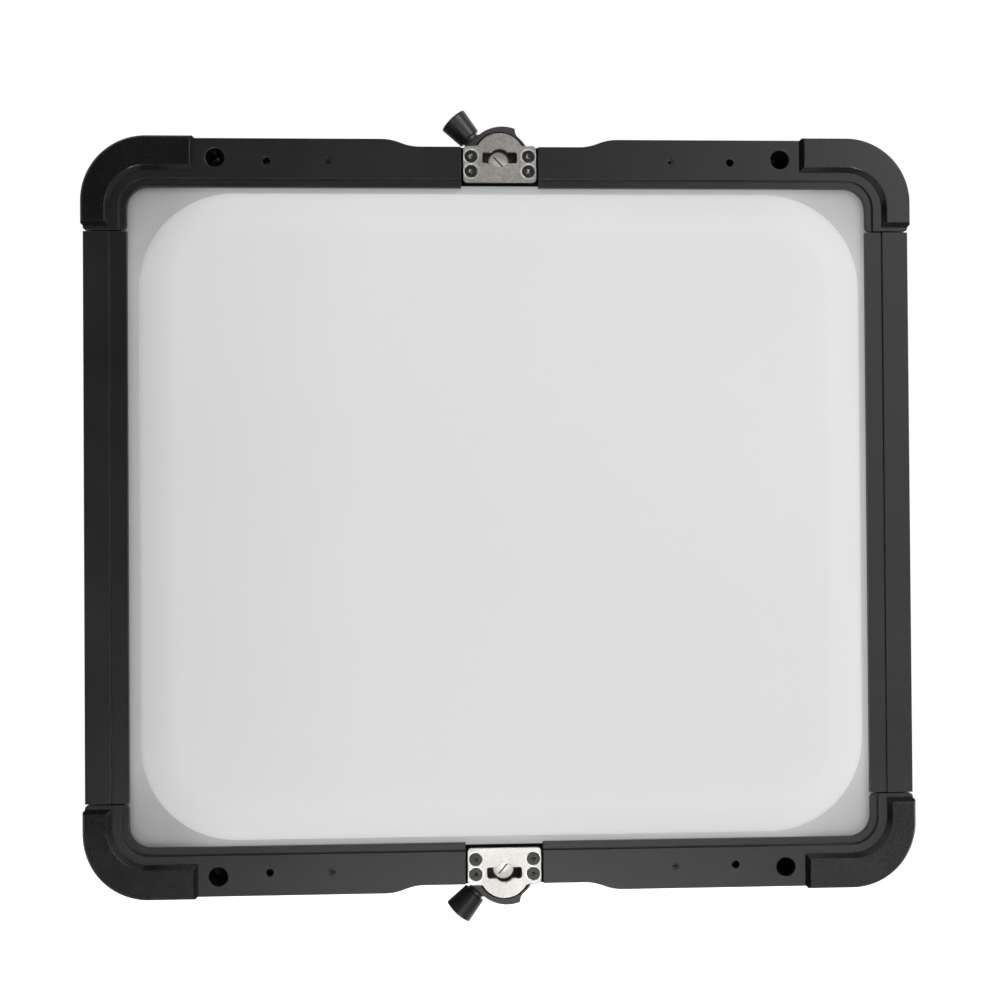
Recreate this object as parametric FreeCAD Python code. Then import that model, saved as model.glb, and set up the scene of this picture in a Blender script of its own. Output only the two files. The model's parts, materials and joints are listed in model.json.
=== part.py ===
import FreeCAD, Part
import math
import os

# LED panel light with a domed diffuser and two quick-lock accessory latches.
# Millimetres, +Z up, +X to the right seen from the front, light leaves along -Y.
# Origin: centre of the rear mount plate's back face.
# Depths "d" count backwards from the front face of the rails: y = d - DEPTH.
# Outlines are rounded rectangles: (half width in X, half height in Z, corner radius).
# Cutters run a little past the faces they open.

V = FreeCAD.Vector
X_AXIS, Y_AXIS, Z_AXIS = V(1, 0, 0), V(0, 1, 0), V(0, 0, 1)
ORIGIN = V(0, 0, 0)
SIDES = (-1, 1)
FAR = 300.0                        # beyond every part

# ---------------------------------------------------------------- driving dimensions
DEPTH = 118.0                      # front face of the rails to rear mount face

# frame
FRAME = (268.9, 244.4, 40.8)
FRAME_HX, FRAME_HZ, FRAME_R = FRAME
FRAME_D = 55.0                     # depth of castings and side rails
OPENING = (241.2, 213.0, 14.0)     # opening inside the lip
PLATE_T = 4.8                      # thickness of the frame's front wall
WALL = 4.0                         # outer wall of the frame
CAST_END, RAIL_END = 184.9, 184.1  # z where castings end, and where side rails end
RAIL_X = FRAME_HX - 0.1            # outside of the side rails
TONGUE_END_D = 66.0                # back edge of the tongues the housing is screwed to
GROOVE = (246.0, 218.2, 18.2)
GROOVE_W, GROOVE_DEEP, LIP_BACK = 1.2, 1.8, 1.0
RAIL_GROOVE_X = 252.2              # groove of the side rails
MID_Z = 239.5                      # outside of the lowered middle section
MID_X0, MID_X1 = 52.0, 77.0        # where the lowered section starts to rise, and ends

# corner bumpers
BUMPER = (270.1, 245.6, 42.0)
BUMPER_INSIDE = (251.5, 223.3, 23.3)
BUMPER_H, BUMPER_BEVEL = 3.0, 3.2
BUMPER_EDGE, BUMPER_EDGE_D = 1.3, -1.8     # front edge chamfer: inset, and where it starts
BUMPER_END_X, BUMPER_END_Z = 197.0, 187.2
BUMPER_WRAP = 48.0

# holes of the castings
BOLT_X, BOLT_Z = 184.3, 231.8              # counterbored frame bolts
ACC_X, ACC_Z, ACC_R = 151.2, 229.6, 2.5    # threaded accessory holes, M6 tapping size
SINK_X, SINK_Z = 132.0, 229.6              # heat sink screws
SET_X, SET_Z = 111.5, 229.8                # set screws

# quick-lock latch
PIVOT_Z = 232.4
LATCH_HX, LATCH_Z0, LATCH_Z1, LATCH_R = 23.75, 216.2, 240.1, 16.2
POCKET_HX, POCKET_Z = 25.2, 214.9
LATCH_SCREWS = [(side * 18.73, z) for side in SIDES for z in (233.3, 223.6)]
DISC_D0, DISC_D1 = 14.0, 20.0      # lever disc
BRIDGE_D0, BRIDGE_D1 = 20.4, 27.0  # bridge that carries the shaft bushing
LEVER_ANGLE = 132.0                # knob direction, anticlockwise from +X seen from the front
KNOB_OFFSET = 3.3                  # knob axis passes this far below the pivot
KNOB_D = 17.0                      # depth of the knob axis
SHAFT_R, BUSH_R = 5.0, 7.0

# diffuser, boards and heat sink
FLANGE_D = 5.0
DOME = (231.2, 205.6, 61.0)
DOME_TOP, DOME_T, DOME_FILLET = -52.0, 2.5, 27.0
GASKET = (244.0, 216.2, 17.5)
MIX_T = 1.3
BOARD_D = 40.0
SINK_D0 = BOARD_D + 1.6
SINK_D1, FIN_D1 = SINK_D0 + 5.0, 72.0
LED_PITCH = 27.0

# rear housing
HOUSE = (266.0, 241.5, 38.0)
HOUSE_HX, HOUSE_HZ, _ = HOUSE
HOUSE_BACK = (HOUSE_HX - 18.0, HOUSE_HZ - 18.0, 30.0)
HOUSE_D1, HOUSE_D2 = 75.0, 107.0   # the taper starts, and the back face
HOUSE_T = 3.0
BACK_CUT = (103, 108)              # depths of a cut through the back wall
HOUSE_SCREW_D = 61.0
HOUSE_SCREW_X, HOUSE_SCREW_Z = (-110, 110), (-120, 0, 120)
MOUNT_H, MOUNT_PITCH = 70.0, 100.0
MOUNT_SCREWS = [(0, 60), (0, -60), (60, 0), (-60, 0)]
FAN_X, FAN_Z, FAN_R = 150.0, 85.0, 43.0
FAN_SCREW = 41.25                  # fan screws from the fan centre, in X and Z
DRIVER_POSTS = [(x, z) for x in (36, 164) for z in (-80, -24)]

# controls and connectors
PANEL_Z = -130.0
KNOBS = {"dimmer_knob": 14.0, "colour_knob": 48.0, "menu_knob": 82.0}
BUTTONS = [(-86.0 + 25.0 * i, PANEL_Z - 18.0) for i in range(3)]
CONN_Z = -186.0
DATA_IN_X, DATA_OUT_X, INLET_X, SWITCH_X = 60.0, 100.0, -128.0, -73.0
PIN_ANGLES = (198, 234, 270, 306, 342)


# ---------------------------------------------------------------- helpers
def y_at(d):
    return d - DEPTH


def closed(points):
    return Part.makePolygon(points + points[:1])


def polygon(points):
    return closed([V(x, 0, z) for x, z in points])


def polar(r, angle, x=0.0, z=0.0):
    a = math.radians(angle)
    return (x + r * math.cos(a), z + r * math.sin(a))


def at_corners(dx, dz, x=0.0, z=0.0):
    return [(x + sx * dx, z + sz * dz) for sx in SIDES for sz in SIDES]


def span(side, inner, outer):
    # interval between two distances from the centre, on one side of it
    return sorted((side * inner, side * outer))


def shrink(outline, t):
    return tuple(v - t for v in outline)


def round_rect(outline, x=0.0, z=0.0):
    half_x, half_z, r = outline
    k = r * math.sqrt(0.5)
    arcs = []
    for i, (sx, sz) in enumerate(((1, 1), (-1, 1), (-1, -1), (1, -1))):
        cx, cz = x + sx * (half_x - r), z + sz * (half_z - r)
        ends = [V(cx + sx * r, 0, cz), V(cx, 0, cz + sz * r)]
        if i % 2:
            ends.reverse()
        arcs.append((ends[0], V(cx + sx * k, 0, cz + sz * k), ends[1]))
    edges = []
    for i, (start, middle, end) in enumerate(arcs):
        edges.append(Part.Arc(start, middle, end).toShape())
        edges.append(Part.LineSegment(end, arcs[(i + 1) % 4][0]).toShape())
    return Part.Wire(edges)


def prism(wire, d0, d1):
    face = Part.Face(wire)
    face.translate(V(0, y_at(d0), 0))
    return face.extrude(V(0, d1 - d0, 0))


def slab(outline, d0, d1, x=0.0, z=0.0):
    return prism(round_rect(outline, x, z), d0, d1)


def loft(outline0, d0, outline1, d1):
    wires = []
    for outline, d in ((outline0, d0), (outline1, d1)):
        wire = round_rect(outline)
        wire.translate(V(0, y_at(d), 0))
        wires.append(wire)
    return Part.makeLoft(wires, True, True)


def box(x0, x1, d0, d1, z0, z1):
    return Part.makeBox(x1 - x0, d1 - d0, z1 - z0, V(x0, y_at(d0), z0))


def cyl(x, z, r, d0, d1):
    return Part.makeCylinder(r, d1 - d0, V(x, y_at(d0), z), Y_AXIS)


def cyls(places, r, d0, d1):
    return [cyl(x, z, r, d0, d1) for x, z in places]


def cone(x, z, r0, r1, d0, d1):
    return Part.makeCone(r0, r1, d1 - d0, V(x, y_at(d0), z), Y_AXIS)


def ring(x, z, inner_r, outer_r, d0, d1):
    return cyl(x, z, outer_r, d0, d1).cut(cyl(x, z, inner_r, d0 - 1, d1 + 1))


def rod(r, length, x, d, z, axis):
    # cylinder along X or Z
    return Part.makeCylinder(r, length, V(x, y_at(d), z), axis)


def fuse(shapes):
    return shapes[0].fuse(shapes[1:]).removeSplitter()


def mirror_x(shape):
    return shape.mirror(ORIGIN, X_AXIS)


def mirror_z(shape):
    return shape.mirror(ORIGIN, Z_AXIS)


def hexagon(x, z, across_flats):
    r = across_flats / math.sqrt(3)
    return polygon([polar(r, 60 * i, x, z) for i in range(6)])


def star(x, z, r):
    return polygon([polar(0.72 * r if i % 2 else r, 30 * i, x, z) for i in range(12)])


def screw(x, z, head, shank, socket, socket_depths):
    # head and shank are (radius, d0, d1)
    body = fuse([cyl(x, z, *head), cyl(x, z, *shank)])
    return body.cut(prism(socket, *socket_depths))


def revolve_y(profile, x, z):
    # closed profile of (radius, d), turned round the Y axis through (x, z)
    face = Part.Face(closed([V(x + r, y_at(d), z) for r, d in profile]))
    return face.revolve(V(x, 0, z), Y_AXIS, 360)


# ---------------------------------------------------------------- frame castings
def above_middle(z0, z1):
    # region above the lowered middle section, both ends rising in a smooth S
    dx, dz = MID_X1 - MID_X0, z1 - z0
    r = (dx * dx + dz * dz) / (4 * dz)
    half = math.asin(dx / 2 / r)
    reach_x, reach_z = r * math.sin(half / 2), r * math.cos(half / 2)
    edges = []
    for side in SIDES:
        low = V(side * MID_X0, 0, z0)
        low_middle = V(side * (MID_X0 + reach_x), 0, z0 + r - reach_z)
        middle = V(side * (MID_X0 + MID_X1) / 2, 0, (z0 + z1) / 2)
        high_middle = V(side * (MID_X1 - reach_x), 0, z1 - r + reach_z)
        high = V(side * MID_X1, 0, z1)
        edges.append(Part.Arc(low, low_middle, middle).toShape())
        edges.append(Part.Arc(middle, high_middle, high).toShape())
        edges.append(Part.LineSegment(high, V(side * MID_X1, 0, FAR)).toShape())
    for x, z in ((MID_X0, z0), (MID_X1, FAR)):
        edges.append(Part.LineSegment(V(-x, 0, z), V(x, 0, z)).toShape())
    return Part.Wire(Part.sortEdges(edges)[0])


def corner_cutter(x, z, r, sx, sz, d0, d1):
    # rounds a corner whose material lies towards (sx, sz)
    xa, xb = sorted((x - sx * 0.5, x + sx * r))
    za, zb = sorted((z - sz * 0.5, z + sz * r))
    return box(xa, xb, d0, d1, za, zb).cut(cyl(x + sx * r, z + sz * r, r, d0 - 1, d1 + 1))


def casting_shell():
    body = slab(FRAME, 0, FRAME_D)
    body = body.common(box(-FAR, FAR, -1, FRAME_D + 1, CAST_END, FAR))
    body = body.cut(prism(above_middle(MID_Z, FRAME_HZ), -1, FRAME_D + 1))
    cavity = slab(shrink(FRAME, WALL), PLATE_T, FRAME_D + 1)
    cavity = cavity.cut(prism(above_middle(MID_Z - WALL, FRAME_HZ - WALL),
                              PLATE_T - 1, FRAME_D + 2))
    # leaves a 3 mm wall across the end of each leg
    cavity = cavity.common(fuse([box(-FAR, FAR, -1, FRAME_D + 2, CAST_END + 3, FAR),
                                 box(-250, 250, -1, FRAME_D + 2, 0, FAR)]))
    body = body.cut(cavity).cut(slab(OPENING, -1, PLATE_T + 1))
    cuts = []
    for side in SIDES:
        # rounded ends of the two legs
        cuts.append(corner_cutter(side * FRAME_HX, CAST_END, 2.0, -side, 1, -1, FRAME_D + 1))
        cuts.append(corner_cutter(side * OPENING[0], CAST_END, 3.4, side, 1, -1, PLATE_T + 1))
    # groove and set-back lip round the opening
    lip = shrink(GROOVE, GROOVE_W)
    cuts.append(slab(GROOVE, -1, GROOVE_DEEP).cut(slab(lip, -2, GROOVE_DEEP + 1)))
    cuts.append(slab(lip, -1, LIP_BACK))
    # pocket for the keyhole plate
    cuts.append(box(-POCKET_HX, POCKET_HX, -1, PLATE_T + 0.5, 205, 260))
    return body.cut(cuts)


def casting():
    boss_d0 = PLATE_T - 0.5
    # x, z, radius, back depth, start of the rib above the centre
    ribbed_bosses = [
        (ACC_X, ACC_Z, 6.5, 18, 5),
        (SINK_X, SINK_Z, 5.5, SINK_D0, 4),
        (SET_X, SET_Z, 5.5, 18, 4),
    ]
    shelf_d0, shelf_d1 = 3, 13.8
    adds = []
    for side in SIDES:
        adds.append(cyl(side * BOLT_X, BOLT_Z, 9.5, boss_d0, FRAME_D))
        for x, z, r, d1, rib in ribbed_bosses:
            x *= side
            adds.append(cyl(x, z, r, boss_d0, d1))
            adds.append(box(x - 1.5, x + 1.5, boss_d0, d1, z + rib, FRAME_HZ - 2))
        # side wall of the pocket
        adds.append(box(*span(side, POCKET_HX, 29.2), PLATE_T - 1.0, BRIDGE_D1,
                        POCKET_Z, MID_Z - 1))
        # tongue that the rear housing is screwed to
        x0, x1 = span(side, 60, 160)
        adds.append(box(x0, x1, FRAME_D - 5, TONGUE_END_D, 234.3, 238.2))
        adds.append(box(x0, x1, FRAME_D - 5, FRAME_D - 1, 238.0, FRAME_HZ - 3.8).cut(
            prism(above_middle(MID_Z - 1, FRAME_HZ - 1), 0, 100)))
    # shelf behind the keyhole plate, and bridge that carries the shaft bushing
    adds.append(box(-26, 26, shelf_d0, shelf_d1, POCKET_Z, MID_Z))
    adds.append(cyl(0, PIVOT_Z, 17.6, shelf_d0, shelf_d1))
    adds.append(box(-26, 26, BRIDGE_D0, BRIDGE_D1, POCKET_Z, MID_Z))
    adds.append(cyl(0, PIVOT_Z, 11.5, BRIDGE_D0, 40))
    body = casting_shell().fuse(adds).removeSplitter()

    cuts = []
    for side in SIDES:
        x = side * BOLT_X
        cuts.append(cyl(x, BOLT_Z, 6.1, -1, 30))
        cuts.append(cone(x, BOLT_Z, 6.9, 6.1, -0.4, 0.4))
        cuts.append(cyl(x, BOLT_Z, 3.3, 29, FRAME_D + 1))
        cuts.append(cyl(side * ACC_X, ACC_Z, ACC_R, -1, 14))
        cuts.append(cyl(side * SINK_X, SINK_Z, 2.02, 28, SINK_D0 + 1))
        cuts.append(cyl(side * SET_X, SET_Z, 2.52, -1, 16))
    cuts += cyls(LATCH_SCREWS, 2.02, 2, 13)
    cuts += [rod(2.05, 8, x, HOUSE_SCREW_D, 231, Z_AXIS) for x in HOUSE_SCREW_X]
    cuts.append(cyl(0, PIVOT_Z, 13.6, 2, 14.5))
    # slot for the lever disc, open through the outer wall
    cuts.append(cyl(0, PIVOT_Z, 26.0, shelf_d1, BRIDGE_D0))
    cuts.append(cyl(0, PIVOT_Z, BUSH_R, 20, 28))
    cuts.append(cyl(0, PIVOT_Z, 9.3, 27, 41))
    return body.cut(cuts)


def side_rail():
    tongue_x0, tongue_x1 = 258.8, 262.7
    rail = fuse([
        box(241.0, RAIL_X, 0, PLATE_T, -RAIL_END, RAIL_END),
        box(RAIL_X - WALL, RAIL_X, 0, FRAME_D, -RAIL_END, RAIL_END),
        box(tongue_x0, tongue_x1, FRAME_D - 5, TONGUE_END_D, -165, 165),
        box(tongue_x0, 266, FRAME_D - 5, FRAME_D - 1, -165, 165),
        box(255.5, 266, 22, 25, -RAIL_END, RAIL_END),
    ])
    # groove, and set-back lip on its inner side
    rail = rail.cut([box(RAIL_GROOVE_X - 0.8, RAIL_GROOVE_X, -1, 1.6, -190, 190),
                     box(240, RAIL_GROOVE_X - 0.7, -1, 0.7, -190, 190)])
    for z in HOUSE_SCREW_Z:
        rail = rail.cut(rod(2.05, 8, 256.5, HOUSE_SCREW_D, z, X_AXIS))
    return rail


def bumper():
    body = fuse([slab(BUMPER, BUMPER_EDGE_D, BUMPER_WRAP),
                 loft(shrink(BUMPER, BUMPER_EDGE), -BUMPER_H, BUMPER, BUMPER_EDGE_D)])
    body = body.common(box(BUMPER_END_X, FAR, -BUMPER_H - 1, BUMPER_WRAP + 1,
                           BUMPER_END_Z, FAR))
    seat = (FRAME_HX + 0.03, FRAME_HZ + 0.03, FRAME_R)
    body = body.cut(slab(seat, -0.03, BUMPER_WRAP + 2))
    # sloping inner edge, carried on past both faces at the same slope
    over = 0.5
    spread = over * BUMPER_BEVEL / BUMPER_H
    body = body.cut(loft(shrink(BUMPER_INSIDE, -(BUMPER_BEVEL + spread)), -BUMPER_H - over,
                         shrink(BUMPER_INSIDE, spread), over))
    # bevelled ends of the front face
    back, front = y_at(over), y_at(-BUMPER_H - over)
    x, z = BUMPER_END_X, BUMPER_END_Z
    reach = BUMPER_BEVEL + over
    bevel_x = Part.Face(closed([V(190, back, 200), V(x - over, back, 200),
                                V(x + reach, front, 200), V(190, front, 200)]))
    bevel_z = Part.Face(closed([V(240, back, 180), V(240, back, z - over),
                                V(240, front, z + reach), V(240, front, 180)]))
    # bevelled ends of the outer wrap
    wrap_x = polygon([(190, 244.2), (x + 0.3, 244.2), (x + 2.2, 246.2), (190, 246.2)])
    wrap_z = polygon([(268.7, 180), (268.7, z + 0.3), (270.7, z + 2.2), (270.7, 180)])
    cuts = [bevel_x.extrude(V(0, 0, 60)), bevel_z.extrude(V(60, 0, 0))]
    cuts += [prism(wire, -BUMPER_H - 1, BUMPER_WRAP + 1) for wire in (wrap_x, wrap_z)]
    return body.cut(cuts).removeSplitter()


def frame_bolt(x, z):
    return screw(x, z, (5.0, 24, 30), (3.0, 30, 68), hexagon(x, z, 5.0), (23, 27.3))


def set_screw(x, z):
    return cyl(x, z, 2.5, 0.7, 10).cut(prism(hexagon(x, z, 2.5), 0, 3))


# ---------------------------------------------------------------- diffuser and mixing box
def latch_notches(d0, d1, half_x, z):
    return [box(-half_x, half_x, d0, d1, z, 260), box(-half_x, half_x, d0, d1, -260, -z)]


def domed_block(outline, top, back, fillet):
    # block with its front edges rounded
    block = slab(outline, top, back)
    edges = [e for e in block.Edges if abs(e.BoundBox.YMin - y_at(top)) < 1e-6
             and abs(e.BoundBox.YMax - y_at(top)) < 1e-6]
    return block.makeFillet(fillet, edges)


def dome_diffuser():
    outer = domed_block(DOME, DOME_TOP, FLANGE_D + 1, DOME_FILLET)
    inner = domed_block(shrink(DOME, DOME_T), DOME_TOP + DOME_T, FLANGE_D + 4,
                        DOME_FILLET - DOME_T)
    flange = slab((245.0, 217.0, 18), FLANGE_D, FLANGE_D + DOME_T)
    flange = flange.cut(latch_notches(0, 12, 30.0, 214.6))
    return flange.fuse(outer).cut(inner).removeSplitter()


def diffuser_gasket():
    gasket = slab(GASKET, 7.6, 9.4).cut(slab((238.5, 211.0, 14), 7, 10))
    return gasket.cut(latch_notches(7, 10, 31.0, 213.4))


def mixing_box():
    front = (239.0, 210.5, 17)
    rim = slab(GASKET, 9.5, 11.0).cut(latch_notches(7, 12, 31.0, 213.4))
    body = loft(front, 9.5, (224.0, 195.5, 13), BOARD_D).fuse(rim)
    inside = loft(shrink(front, MIX_T), 9.0, (222.2, 193.7, 11.5), BOARD_D + 0.5)
    return body.cut(inside).removeSplitter()


# ---------------------------------------------------------------- LED boards and heat sink
BOARD_SCREWS = [(side * x, z) for side in SIDES for x in (LED_PITCH, 7 * LED_PITCH)
                for z in (-6 * LED_PITCH, 0, 6 * LED_PITCH)]


def led_board():
    places = [(x, z) for x, z in BOARD_SCREWS if x > 0]
    return box(0.5, 226, BOARD_D, SINK_D0, -198, 198).cut(cyls(places, 1.7, 39, 43))


def led_emitters():
    columns = [(i - 7.5) * LED_PITCH for i in range(16)]
    rows = [(i - 6.5) * LED_PITCH for i in range(14)]
    return [box(x - 2.5, x + 2.5, BOARD_D - 0.8, BOARD_D, z - 2.5, z + 2.5)
            for x in columns for z in rows]


def board_screw(x, z):
    return screw(x, z, (2.75, BOARD_D - 2.0, BOARD_D), (1.5, BOARD_D, 45.4),
                 hexagon(x, z, 2.0), (BOARD_D - 3, BOARD_D - 0.9))


def heat_sink():
    base = slab((246.0, 234.5, 30), SINK_D0, SINK_D1)
    base = base.cut(cyls(at_corners(BOLT_X, BOLT_Z), 10.5, 40, 50)
                    + cyls(at_corners(SINK_X, SINK_Z), 2.2, 40, 50)
                    + cyls(BOARD_SCREWS, 1.52, 41, 46))
    fins = []
    for i in range(37):
        x = -216 + 12 * i
        fins.append(box(x - 0.8, x + 0.8, SINK_D1 - 0.5, FIN_D1, -200, 200))
    return base.fuse(fins).removeSplitter()


def heat_sink_screw(x, z):
    return screw(x, z, (3.5, SINK_D1, 50), (2.0, 30, SINK_D1), hexagon(x, z, 2.5), (48, 51))


# ---------------------------------------------------------------- rear housing
def housing_block(inset, back):
    straight = slab(shrink(HOUSE, inset), FRAME_D, HOUSE_D1)
    taper = loft(shrink(HOUSE, inset), HOUSE_D1, shrink(HOUSE_BACK, inset), back)
    return straight.fuse(taper)


def vent_slots():
    slots = []
    # on the two sides, then on top and bottom
    for side in SIDES:
        for i in range(23):
            z = -132 + 12 * i
            slots.append(box(*span(side, 240, 270), 79, 99, z - 2, z + 2))
    for side in SIDES:
        for i in range(31):
            x = -180 + 12 * i
            slots.append(box(x - 2, x + 2, 79, 99, *span(side, 216, 246)))
    return slots


def fan_guard_cuts(x):
    # ring slots with four spokes left standing, and the fan screw holes
    spokes = [box(x - 46, x + 46, 100, 110, FAN_Z - 2.0, FAN_Z + 2.0),
              box(x - 2.0, x + 2.0, 100, 110, FAN_Z - 46, FAN_Z + 46)]
    radii = ((14, 19.5), (21.5, 27), (29, 34.5), (36.5, 42.5))
    cuts = [ring(x, FAN_Z, r0, r1, *BACK_CUT).cut(spokes) for r0, r1 in radii]
    return cuts + cyls(at_corners(FAN_SCREW, FAN_SCREW, x, FAN_Z), 2.05, *BACK_CUT)


def rear_housing():
    envelope = housing_block(0.0, HOUSE_D2)
    house = envelope.cut(housing_block(HOUSE_T, HOUSE_D2 - HOUSE_T))
    bolts = at_corners(BOLT_X, BOLT_Z)
    bosses = [boss.common(envelope) for boss in cyls(bolts, 8.0, FRAME_D, 70)]
    house = house.fuse(bosses + cyls(DRIVER_POSTS, 4.0, 98, 105))
    cuts = cyls(bolts, 3.02, FRAME_D - 1, 69) + cyls(DRIVER_POSTS, 1.52, 97, 103.5)
    cuts += vent_slots()
    for side in SIDES:
        cuts += fan_guard_cuts(side * FAN_X)
    # slots above the mount plate, then on both sides of it
    for i in range(9):
        x = -52 + 13 * i
        cuts.append(box(x - 3, x + 3, *BACK_CUT, 92, 150))
    for side in SIDES:
        for i in range(5):
            x = side * (100 + 20 * i)
            cuts.append(box(x - 3, x + 3, *BACK_CUT, -60, 10))
    # control window and connector holes
    cuts.append(slab((102, 30, 6), *BACK_CUT, z=PANEL_Z))
    for x in (DATA_IN_X, DATA_OUT_X):
        cuts.append(cyl(x, CONN_Z, 12.1, *BACK_CUT))
    cuts.append(cyl(INLET_X, CONN_Z, 12.6, *BACK_CUT))
    cuts.append(box(SWITCH_X - 13.1, SWITCH_X + 13.1, *BACK_CUT, CONN_Z - 9.1, CONN_Z + 9.1))
    for z in HOUSE_SCREW_Z:
        for side in SIDES:
            x = span(side, 261, 269)[0]
            cuts.append(rod(2.1, 8, x, HOUSE_SCREW_D, z, X_AXIS))
    for x in HOUSE_SCREW_X:
        for side in SIDES:
            z = span(side, 236, 244)[0]
            cuts.append(rod(2.1, 8, x, HOUSE_SCREW_D, z, Z_AXIS))
    cuts += cyls(MOUNT_SCREWS, 3.02, *BACK_CUT)
    return house.cut(cuts).removeSplitter()


def housing_screw(x, z, axis):
    # (x, z) is where the head seats, axis points outwards
    def section(r, start, length):
        return rod(r, length, x + axis.x * start, HOUSE_SCREW_D, z + axis.z * start, axis)

    return fuse([section(3.8, 0, 2.2), section(2.0, -7.0, 7.0)]).cut(section(1.3, 0.8, 1.6))


def housing_screws():
    screws = []
    for side in SIDES:
        for z in HOUSE_SCREW_Z:
            right = housing_screw(HOUSE_HX, z, X_AXIS)
            screws.append(right if side > 0 else mirror_x(right))
    for x in HOUSE_SCREW_X:
        top = housing_screw(x, HOUSE_HZ, Z_AXIS)
        screws += [top, mirror_z(top)]
    return screws


def rear_foot(x, z):
    foot = fuse([cone(x, z, 13, 11.5, HOUSE_D2, 116.5), cone(x, z, 11.5, 10.3, 116.5, DEPTH)])
    return foot.cut(cyl(x, z, 4.0, 112, 119))


def mount_plate():
    plate = slab((MOUNT_H, MOUNT_H, 12), HOUSE_D2, DEPTH)
    return plate.cut(cyls(at_corners(MOUNT_PITCH / 2, MOUNT_PITCH / 2), 3.4, 100, 120)
                     + cyls(MOUNT_SCREWS, 3.3, 100, 120)
                     + cyls(MOUNT_SCREWS, 5.6, 111, 120))


def mount_screw(x, z):
    return screw(x, z, (5.2, 111, 116), (3.0, 98, 111), hexagon(x, z, 4.0), (113, 117))


# ---------------------------------------------------------------- fans
def fan_frame():
    frame = slab((46, 46, 4), 79, 104, FAN_X, FAN_Z)
    frame = frame.cut(cyl(FAN_X, FAN_Z, FAN_R + 1.0, 78, 105))
    # waist between the two flanges
    waist = slab((46.5, 46.5, 4), 83, 100, FAN_X, FAN_Z)
    frame = frame.cut(waist.cut(cyl(FAN_X, FAN_Z, 45.6, 82, 101)))
    adds = [ring(FAN_X, FAN_Z, 1.55, 18.0, 100.2, 103.8)]
    for angle in (45, 135, 225, 315):
        strut = box(17, 45, 100.4, 103.6, -2, 2)
        strut.rotate(ORIGIN, Y_AXIS, angle)
        strut.translate(V(FAN_X, 0, FAN_Z))
        adds.append(strut)
    frame = frame.fuse(adds).removeSplitter()
    return frame.cut(cyls(at_corners(FAN_SCREW, FAN_SCREW, FAN_X, FAN_Z), 1.92, 78, 105))


def fan_blade():
    # sections: radius, twist in degrees, width factor
    sections = ((18.5, 52, 7.5), (30.0, 40, 8.3), (42.4, 31, 8.0))
    wires = []
    for r, twist, width in sections:
        a = math.radians(twist)
        c, s = math.cos(a), math.sin(a)
        half, thick = width * 1.15, 0.55
        wires.append(closed([
            V(u * c - v * s, y_at(91) + u * s + v * c, r)
            for u, v in ((-half, -thick), (half, -thick), (half, thick), (-half, thick))]))
    return Part.makeLoft(wires, True, False)


def fan_rotor():
    blade_count = 7
    hub = fuse([cyl(FAN_X, FAN_Z, 19.5, 82, 99.6), cyl(FAN_X, FAN_Z, 1.5, 99, 103.5)])
    # hollow back of the hub, round a central boss
    hub = hub.cut(cyl(FAN_X, FAN_Z, 17.5, 84.5, 99.7).cut(cyl(FAN_X, FAN_Z, 3.5, 84, 101)))
    blades = []
    for i in range(blade_count):
        blade = fan_blade()
        blade.rotate(ORIGIN, Y_AXIS, i * 360.0 / blade_count)
        blade.translate(V(FAN_X, 0, FAN_Z))
        blades.append(blade)
    wheel = blades[0].fuse(blades[1:]).common(cyl(FAN_X, FAN_Z, 42.3, 82, 99.6))
    return hub.fuse(wheel).removeSplitter()


def fan_screw(x, z):
    return screw(x, z, (3.6, HOUSE_D2, 109.2), (1.9, 82, HOUSE_D2), star(x, z, 1.5), (108, 110))


# ---------------------------------------------------------------- electronics
def power_supply():
    case = box(-190, -30, 80, 104, -90, -4)
    case = case.cut(box(-188.5, -31.5, 81.5, 102.5, -88.5, -5.5))
    return case.cut([box(-180 + 12 * i, -176 + 12 * i, 79, 82, -78, -18) for i in range(12)])


def driver_board():
    board = box(30, 170, 96.4, 98, -88, -16).cut(cyls(DRIVER_POSTS, 1.7, 95, 99))
    round_parts = cyls([(50 + 16 * i, -36) for i in range(5)], 6, 84, 96.6)
    return fuse([board] + round_parts
                + [box(46, 96, 88, 96.6, -74, -52), box(108, 150, 86, 96.6, -76, -54)])


# ---------------------------------------------------------------- control panel
def control_board():
    board = fuse([box(-100, 100, 92, 93.6, PANEL_Z - 26, PANEL_Z + 26)]
                 + cyls(BUTTONS, 2.2, 93.5, 94.6)
                 + [box(20, 60, 88, 92.1, PANEL_Z - 10, PANEL_Z + 12),
                    box(-70, -30, 89, 92.1, PANEL_Z - 8, PANEL_Z + 12)])
    # a body and a hollow collar for each knob's shaft
    encoders = []
    for x in KNOBS.values():
        encoders.append(box(x - 6.5, x + 6.5, 93.4, 100.8, PANEL_Z - 6.5, PANEL_Z + 6.5))
        encoders.append(cyl(x, PANEL_Z, 3.5, 100.5, 105.4))
    return fuse([board] + encoders).cut([cyl(x, PANEL_Z, 3.05, 95, 106) for x in KNOBS.values()])


def control_bezel():
    bezel = fuse([slab((107, 35, 8), 101, 104, z=PANEL_Z),
                  slab((101.6, 29.6, 5.6), 103.5, 105, z=PANEL_Z)])
    cuts = [box(-93, -31, 100, 106, PANEL_Z - 8, PANEL_Z + 23)]
    cuts += [cyl(x, PANEL_Z, 3.6, 100, 106) for x in KNOBS.values()]
    cuts += [box(x - 7, x + 7, 100, 106, z - 4, z + 4) for x, z in BUTTONS]
    # square posts at the corners, trimmed to the bezel's width
    limits = box(-107, 107, 90, 110, -200, 0)
    posts = [box(x - 3, x + 3, 93.6, 101.2, z - 3, z + 3).common(limits)
             for x, z in at_corners(104, 22, z=PANEL_Z)]
    return fuse([bezel.cut(cuts)] + posts)


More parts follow.
